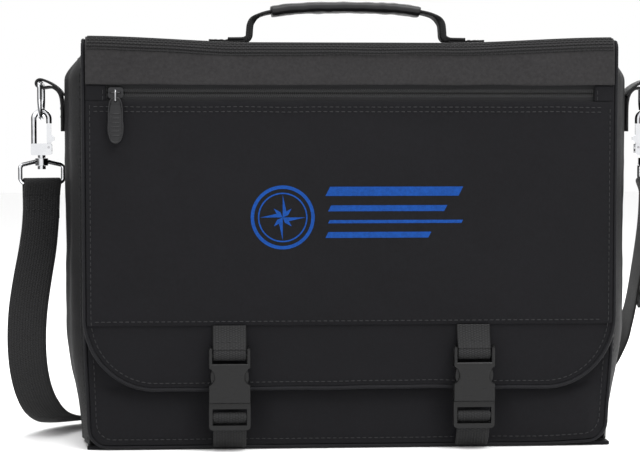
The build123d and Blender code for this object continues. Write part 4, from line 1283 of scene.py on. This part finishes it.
# ---------------- cloth across the back hinge
HINGE_POINTS = [(56.3, 276), (56.5, 286), (56.8, 296), (57.2, 301.5), (56, 305.2), (52, 306.2), (46, 306.1),
                (36, 305.8)]
hinge_section = nurbs_points([Vector((0, y * MM, z * MM)) for y, z in HINGE_POINTS], 6)


def hinge_place(u, v):
    place = v * (len(hinge_section) - 1)
    whole = min(int(place), len(hinge_section) - 2)
    point = hinge_section[whole].lerp(hinge_section[whole + 1], place - whole)
    x = (2 * u - 1) * 197.5 * MM
    lifted = point.z + rise(x) * ease((point.z - 270 * MM) / (36 * MM))
    return Vector((x, point.y + 0.3 * MM * ripple(x, 0.8, v, 25), lifted))


hinge = surface("back_hinge_cloth", hinge_place, (395 * MM, 52 * MM), (120, 40), 0)
hinge.data.flip_normals()
thicken(hinge, 1.0 * MM, 0.3 * MM)
finish_piece(hinge, "cloth", "cloth")
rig.blend(hinge, "bag", "flap_top", (0, 56.8 * MM, 297 * MM), (0, 52 * MM, 306.3 * MM))

# ---------------- inside
def wall(name, node, look, thickness, waves):
    """Upright cloth wall inside the bag, with its rows of stitches; gives its face's depth(x, z) too."""
    box_low, box_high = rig.box(node)
    low, high, half = box_low.z, box_high.z, box_high.x

    def depth(x, z):
        return box_low.y + waves * MM * (0.5 + 0.5 * ripple(x, 0.5, z, 13)) * ease((z - low) / (30 * MM))

    piece = face_sheet(name, low, high, half, 0, depth, thickness, look, "bag", (90, 60), 0.5 * MM,
                       edge=0.4 * MM)
    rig.replaces(piece, node)
    rows = [row(high - down * MM, half - 6 * MM, depth) for down in (5, 8)]
    stitches(name + "_stitches", rows, "bag", FORWARD)
    return piece, depth


inner_wall, _ = wall("inner_wall_cloth", "front_wall", "cloth", 2.8 * MM, 0.1)
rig.padded(inner_wall, 0.3)
divider, _ = wall("divider_cloth", "divider", "lining", 2.6 * MM, 0.4)
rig.padded(divider, 0.3)
organiser, organiser_depth = wall("organiser_cloth", "organiser_panel", "lining", 1.2 * MM, 0.25)
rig.sheet(organiser, (300 * MM, 175 * MM), "stretched", ["front_wall"])
stitches("organiser_seams",
         [[Vector((x * MM, organiser_depth(x * MM, z * MM) - ON_CLOTH, z * MM)) for z in range(64, 196, 3)]
                             for x in (-145, -60, 20, 145)], "bag", FORWARD)
loops_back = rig.box("pen_loops")[1].y
for k, x in enumerate((-128, -102, -76)):
    shape = [(-13, -0.4), (-10.5, -0.6), (-9, -3.5), (-6.5, -7.4), (0, -8.9), (6.5, -7.4), (9, -3.5),
             (10.5, -0.6), (13, -0.4)]
    line = nurbs_points([Vector(((x + a) * MM, loops_back + b * MM, 215 * MM)) for a, b in shape], 6)
    loop = drawn(f"pen_loop_{k}", line, Vector((0, 0, 1)), tape_profile(39 * MM, 1.2 * MM))
    finish_piece(loop, "webbing", "cloth", "bag")
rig.replaces(loop, "pen_loops")
lining_low, lining_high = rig.box("flap_lining")
lining = face_sheet("flap_lining_cloth", lining_low.z, lining_high.z, lining_high.x, 50 * MM,
                    lambda x, z: lining_high.y - 0.1 * MM - 0.3 * MM * abs(ripple(x, 0.4, z, 15)), 0.8 * MM,
                    "lining", "flap_front", (120, 70), out=1, power=1.3)
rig.replaces(lining, "flap_lining")
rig.sheet(lining, (2 * lining_high.x, lining_high.z - lining_low.z), "stretched", ["flap_stiffener"])

# ---------------- buckle webbings
def webbing_run(name, node, runs, thick, anchor, joint, keep, x, rider):
    """Buckle webbing in two pieces: the run that shortens, and the turn round the bar, on the buckle half."""
    for part, shape in zip(("run", "turn"), runs):
        line = nurbs_points([Vector((x, y * MM, z * MM)) for y, z in shape], 8)
        piece = drawn(f"{name}_{part}", line, Vector((1, 0, 0)), tape_profile(WEBBING, thick, 8, 0.15 * MM))
        if part == "turn":
            finish_piece(piece, "webbing", "webbing", rider)
            continue
        finish_piece(piece, "webbing", "webbing", "flap_front" if "upper" in name else "bag")
        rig.replaces(piece, node)
        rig.squash(piece, joint, (0, 0, 1), anchor, keep)


axis_y = (edge_of("left_buckle_socket", 1, 0) + edge_of("left_buckle_socket", 1, 1)) / 2 / MM
for side, sign in SIDES:
    x = sign * BUCKLES
    runs = ([(-56.9, 95), (-57.4, 91), (-58.9, 86.6), (-61.4, 81), (axis_y - 2.6, 77)],
            [(axis_y - 1.6, 78.6), (axis_y - 2.7, 75.6), (axis_y - 2.9, 72.6), (axis_y - 1.6, 70.2),
             (axis_y + 0.8, 69.9), (axis_y + 2.7, 71.6), (axis_y + 2.9, 74.4), (axis_y + 2.2, 78)])
    webbing_run(f"{side}_upper_tape", f"{side}_upper_webbing", runs, 1.5 * MM, (x, FLAP_Y, 94.8 * MM),
                f"{side}_release", 0.3, x, f"{side}_socket")
    runs = ([(-48.2, 2.5), (-50.4, 4.4), (-55, 10), (-57.8, 15), (-58.1, 20), (axis_y + 3.0, 23)],
            [(axis_y + 3.1, 21), (axis_y + 2.9, 25), (axis_y + 2.4, 28.6), (axis_y, 29.9),
             (axis_y - 2.4, 28.7), (axis_y - 2.9, 26.2), (axis_y - 1.2, 24.2), (axis_y + 1.0, 22.6)])
    webbing_run(f"{side}_lower_tape", f"{side}_lower_webbing", runs, 1.4 * MM, (x, POCKET_Y, 2.5 * MM),
                f"{side}_plug_drop", 0.5, x, f"{side}_plug")
    # the plug's press tabs, which stand in the socket's side windows
    for hand in (-1, 1):
        inner, outer = 9.6 * MM, 14.3 * MM
        outline = [(0, -7), (0.55, -6.4), (0.9, -4), (1, 0), (0.9, 4), (0.55, 6.4), (0, 7)]
        line = nurbs_points([Vector((x + hand * mix(inner, outer, a), axis_y * MM, (57.2 + b) * MM))
                             for a, b in outline], 6)
        points = [Vector((p.x if a else x + hand * inner, p.y + b * MM, p.z))
                  for p in line for a, b in ((0, -2.3), (1, -2.3), (1, 2.3), (0, 2.3))]
        tab = from_lists(f"{side}_press_tab_{'a' if hand < 0 else 'b'}", points, ring_faces(len(line), 4))
        bm = bmesh.new()
        bm.from_mesh(tab.data)
        bmesh.ops.remove_doubles(bm, verts=bm.verts, dist=0.001 * MM)
        bmesh.ops.recalc_face_normals(bm, faces=bm.faces)
        bm.to_mesh(tab.data)
        bm.free()
        rounding = tab.modifiers.new("rounding", "BEVEL")
        rounding.width = 0.7 * MM
        rounding.segments = 3
        rounding.limit_method = "ANGLE"
        settle(tab)
        finish_piece(tab, "buckle_plastic", "buckle_plastic", f"{side}_plug")
        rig.squash(tab, f"{side}_release", (1, 0, 0), (x + hand * inner, axis_y * MM, 57 * MM), 0.28)
    rows = [[Vector((x + a * MM, (-60.3 - 1.05) * MM, z * MM)) for a in (-10.5, 10.5)] for z in (83.2, 81.6)]
    thread = stitches(f"{side}_upper_tape_stitches", rows, "flap_front", FORWARD)
    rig.squash(thread, f"{side}_release", (0, 0, 1), (x, FLAP_Y, 94.8 * MM), 0.3)

# ---------------- finishes of the CAD nodes that show
for name, node in frame["nodes"].items():
    look = {"socket": "buckle_plastic", "plug": "buckle_plastic", "adjuster": "buckle_plastic",
            "slider": "slider_metal",
            "link": "steel", "pull": "pull_rubber", "board": "board", "stiffener": "board", "pin": "steel",
            "spring": "steel",
            "gate": "hook_metal", "ring": "hook_metal", "hook": "hook_metal", "loop": "hook_metal"}
    for word, finish in look.items():
        if name.endswith(word):
            for holder in node.material_slots:
                holder.material = LOOKS[finish]
            break
    else:
        for holder in node.material_slots:
            holder.material = LOOKS["cloth"]

# ---------------- floor and light
bpy.ops.mesh.primitive_plane_add(size=12, location=(0, 0, -0.15 * MM))
floor = bpy.context.object
floor.name = "floor"
paper = Nodes("paper")
paper.set(Base_Color=(0.93, 0.93, 0.93, 1), Roughness=0.8)
floor.data.materials.append(paper.material)
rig.stage(floor)
world = bpy.data.worlds.new("studio")
bpy.context.scene.world = world
world.use_nodes = True
world.node_tree.nodes["Background"].inputs[0].default_value = (1, 1, 1, 1)
world.node_tree.nodes["Background"].inputs[1].default_value = 1.0
bpy.context.scene.view_settings.view_transform = "Standard"


def softbox(name, place, target, size, power):
    light = bpy.data.lights.new(name, "AREA")
    light.shape = "RECTANGLE"
    light.size, light.size_y = size
    light.energy = power
    holder = bpy.data.objects.new(name, light)
    bpy.context.scene.collection.objects.link(holder)
    holder.location = place
    holder.rotation_euler = (Vector(target) - Vector(place)).to_track_quat("-Z", "Y").to_euler()


softbox("key", (0.7, -1.1, 1.9), (0, 0, 0.2), (1.2, 0.7), 30)
softbox("fill", (-1.3, -1.2, 0.9), (0, 0, 0.15), (1.0, 1.0), 3)
softbox("top", (0, -0.35, 1.7), (0, 0, 0.2), (1.6, 0.6), 22)
softbox("rear", (0.6, 1.5, 1.1), (0, 0, 0.15), (1.2, 0.8), 14)

size = {"cad": [list(corner) for corner in cad_bounds], "visual": [list(corner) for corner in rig.bounds()]}
with open("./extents.json", "w") as out:
    json.dump(size, out)
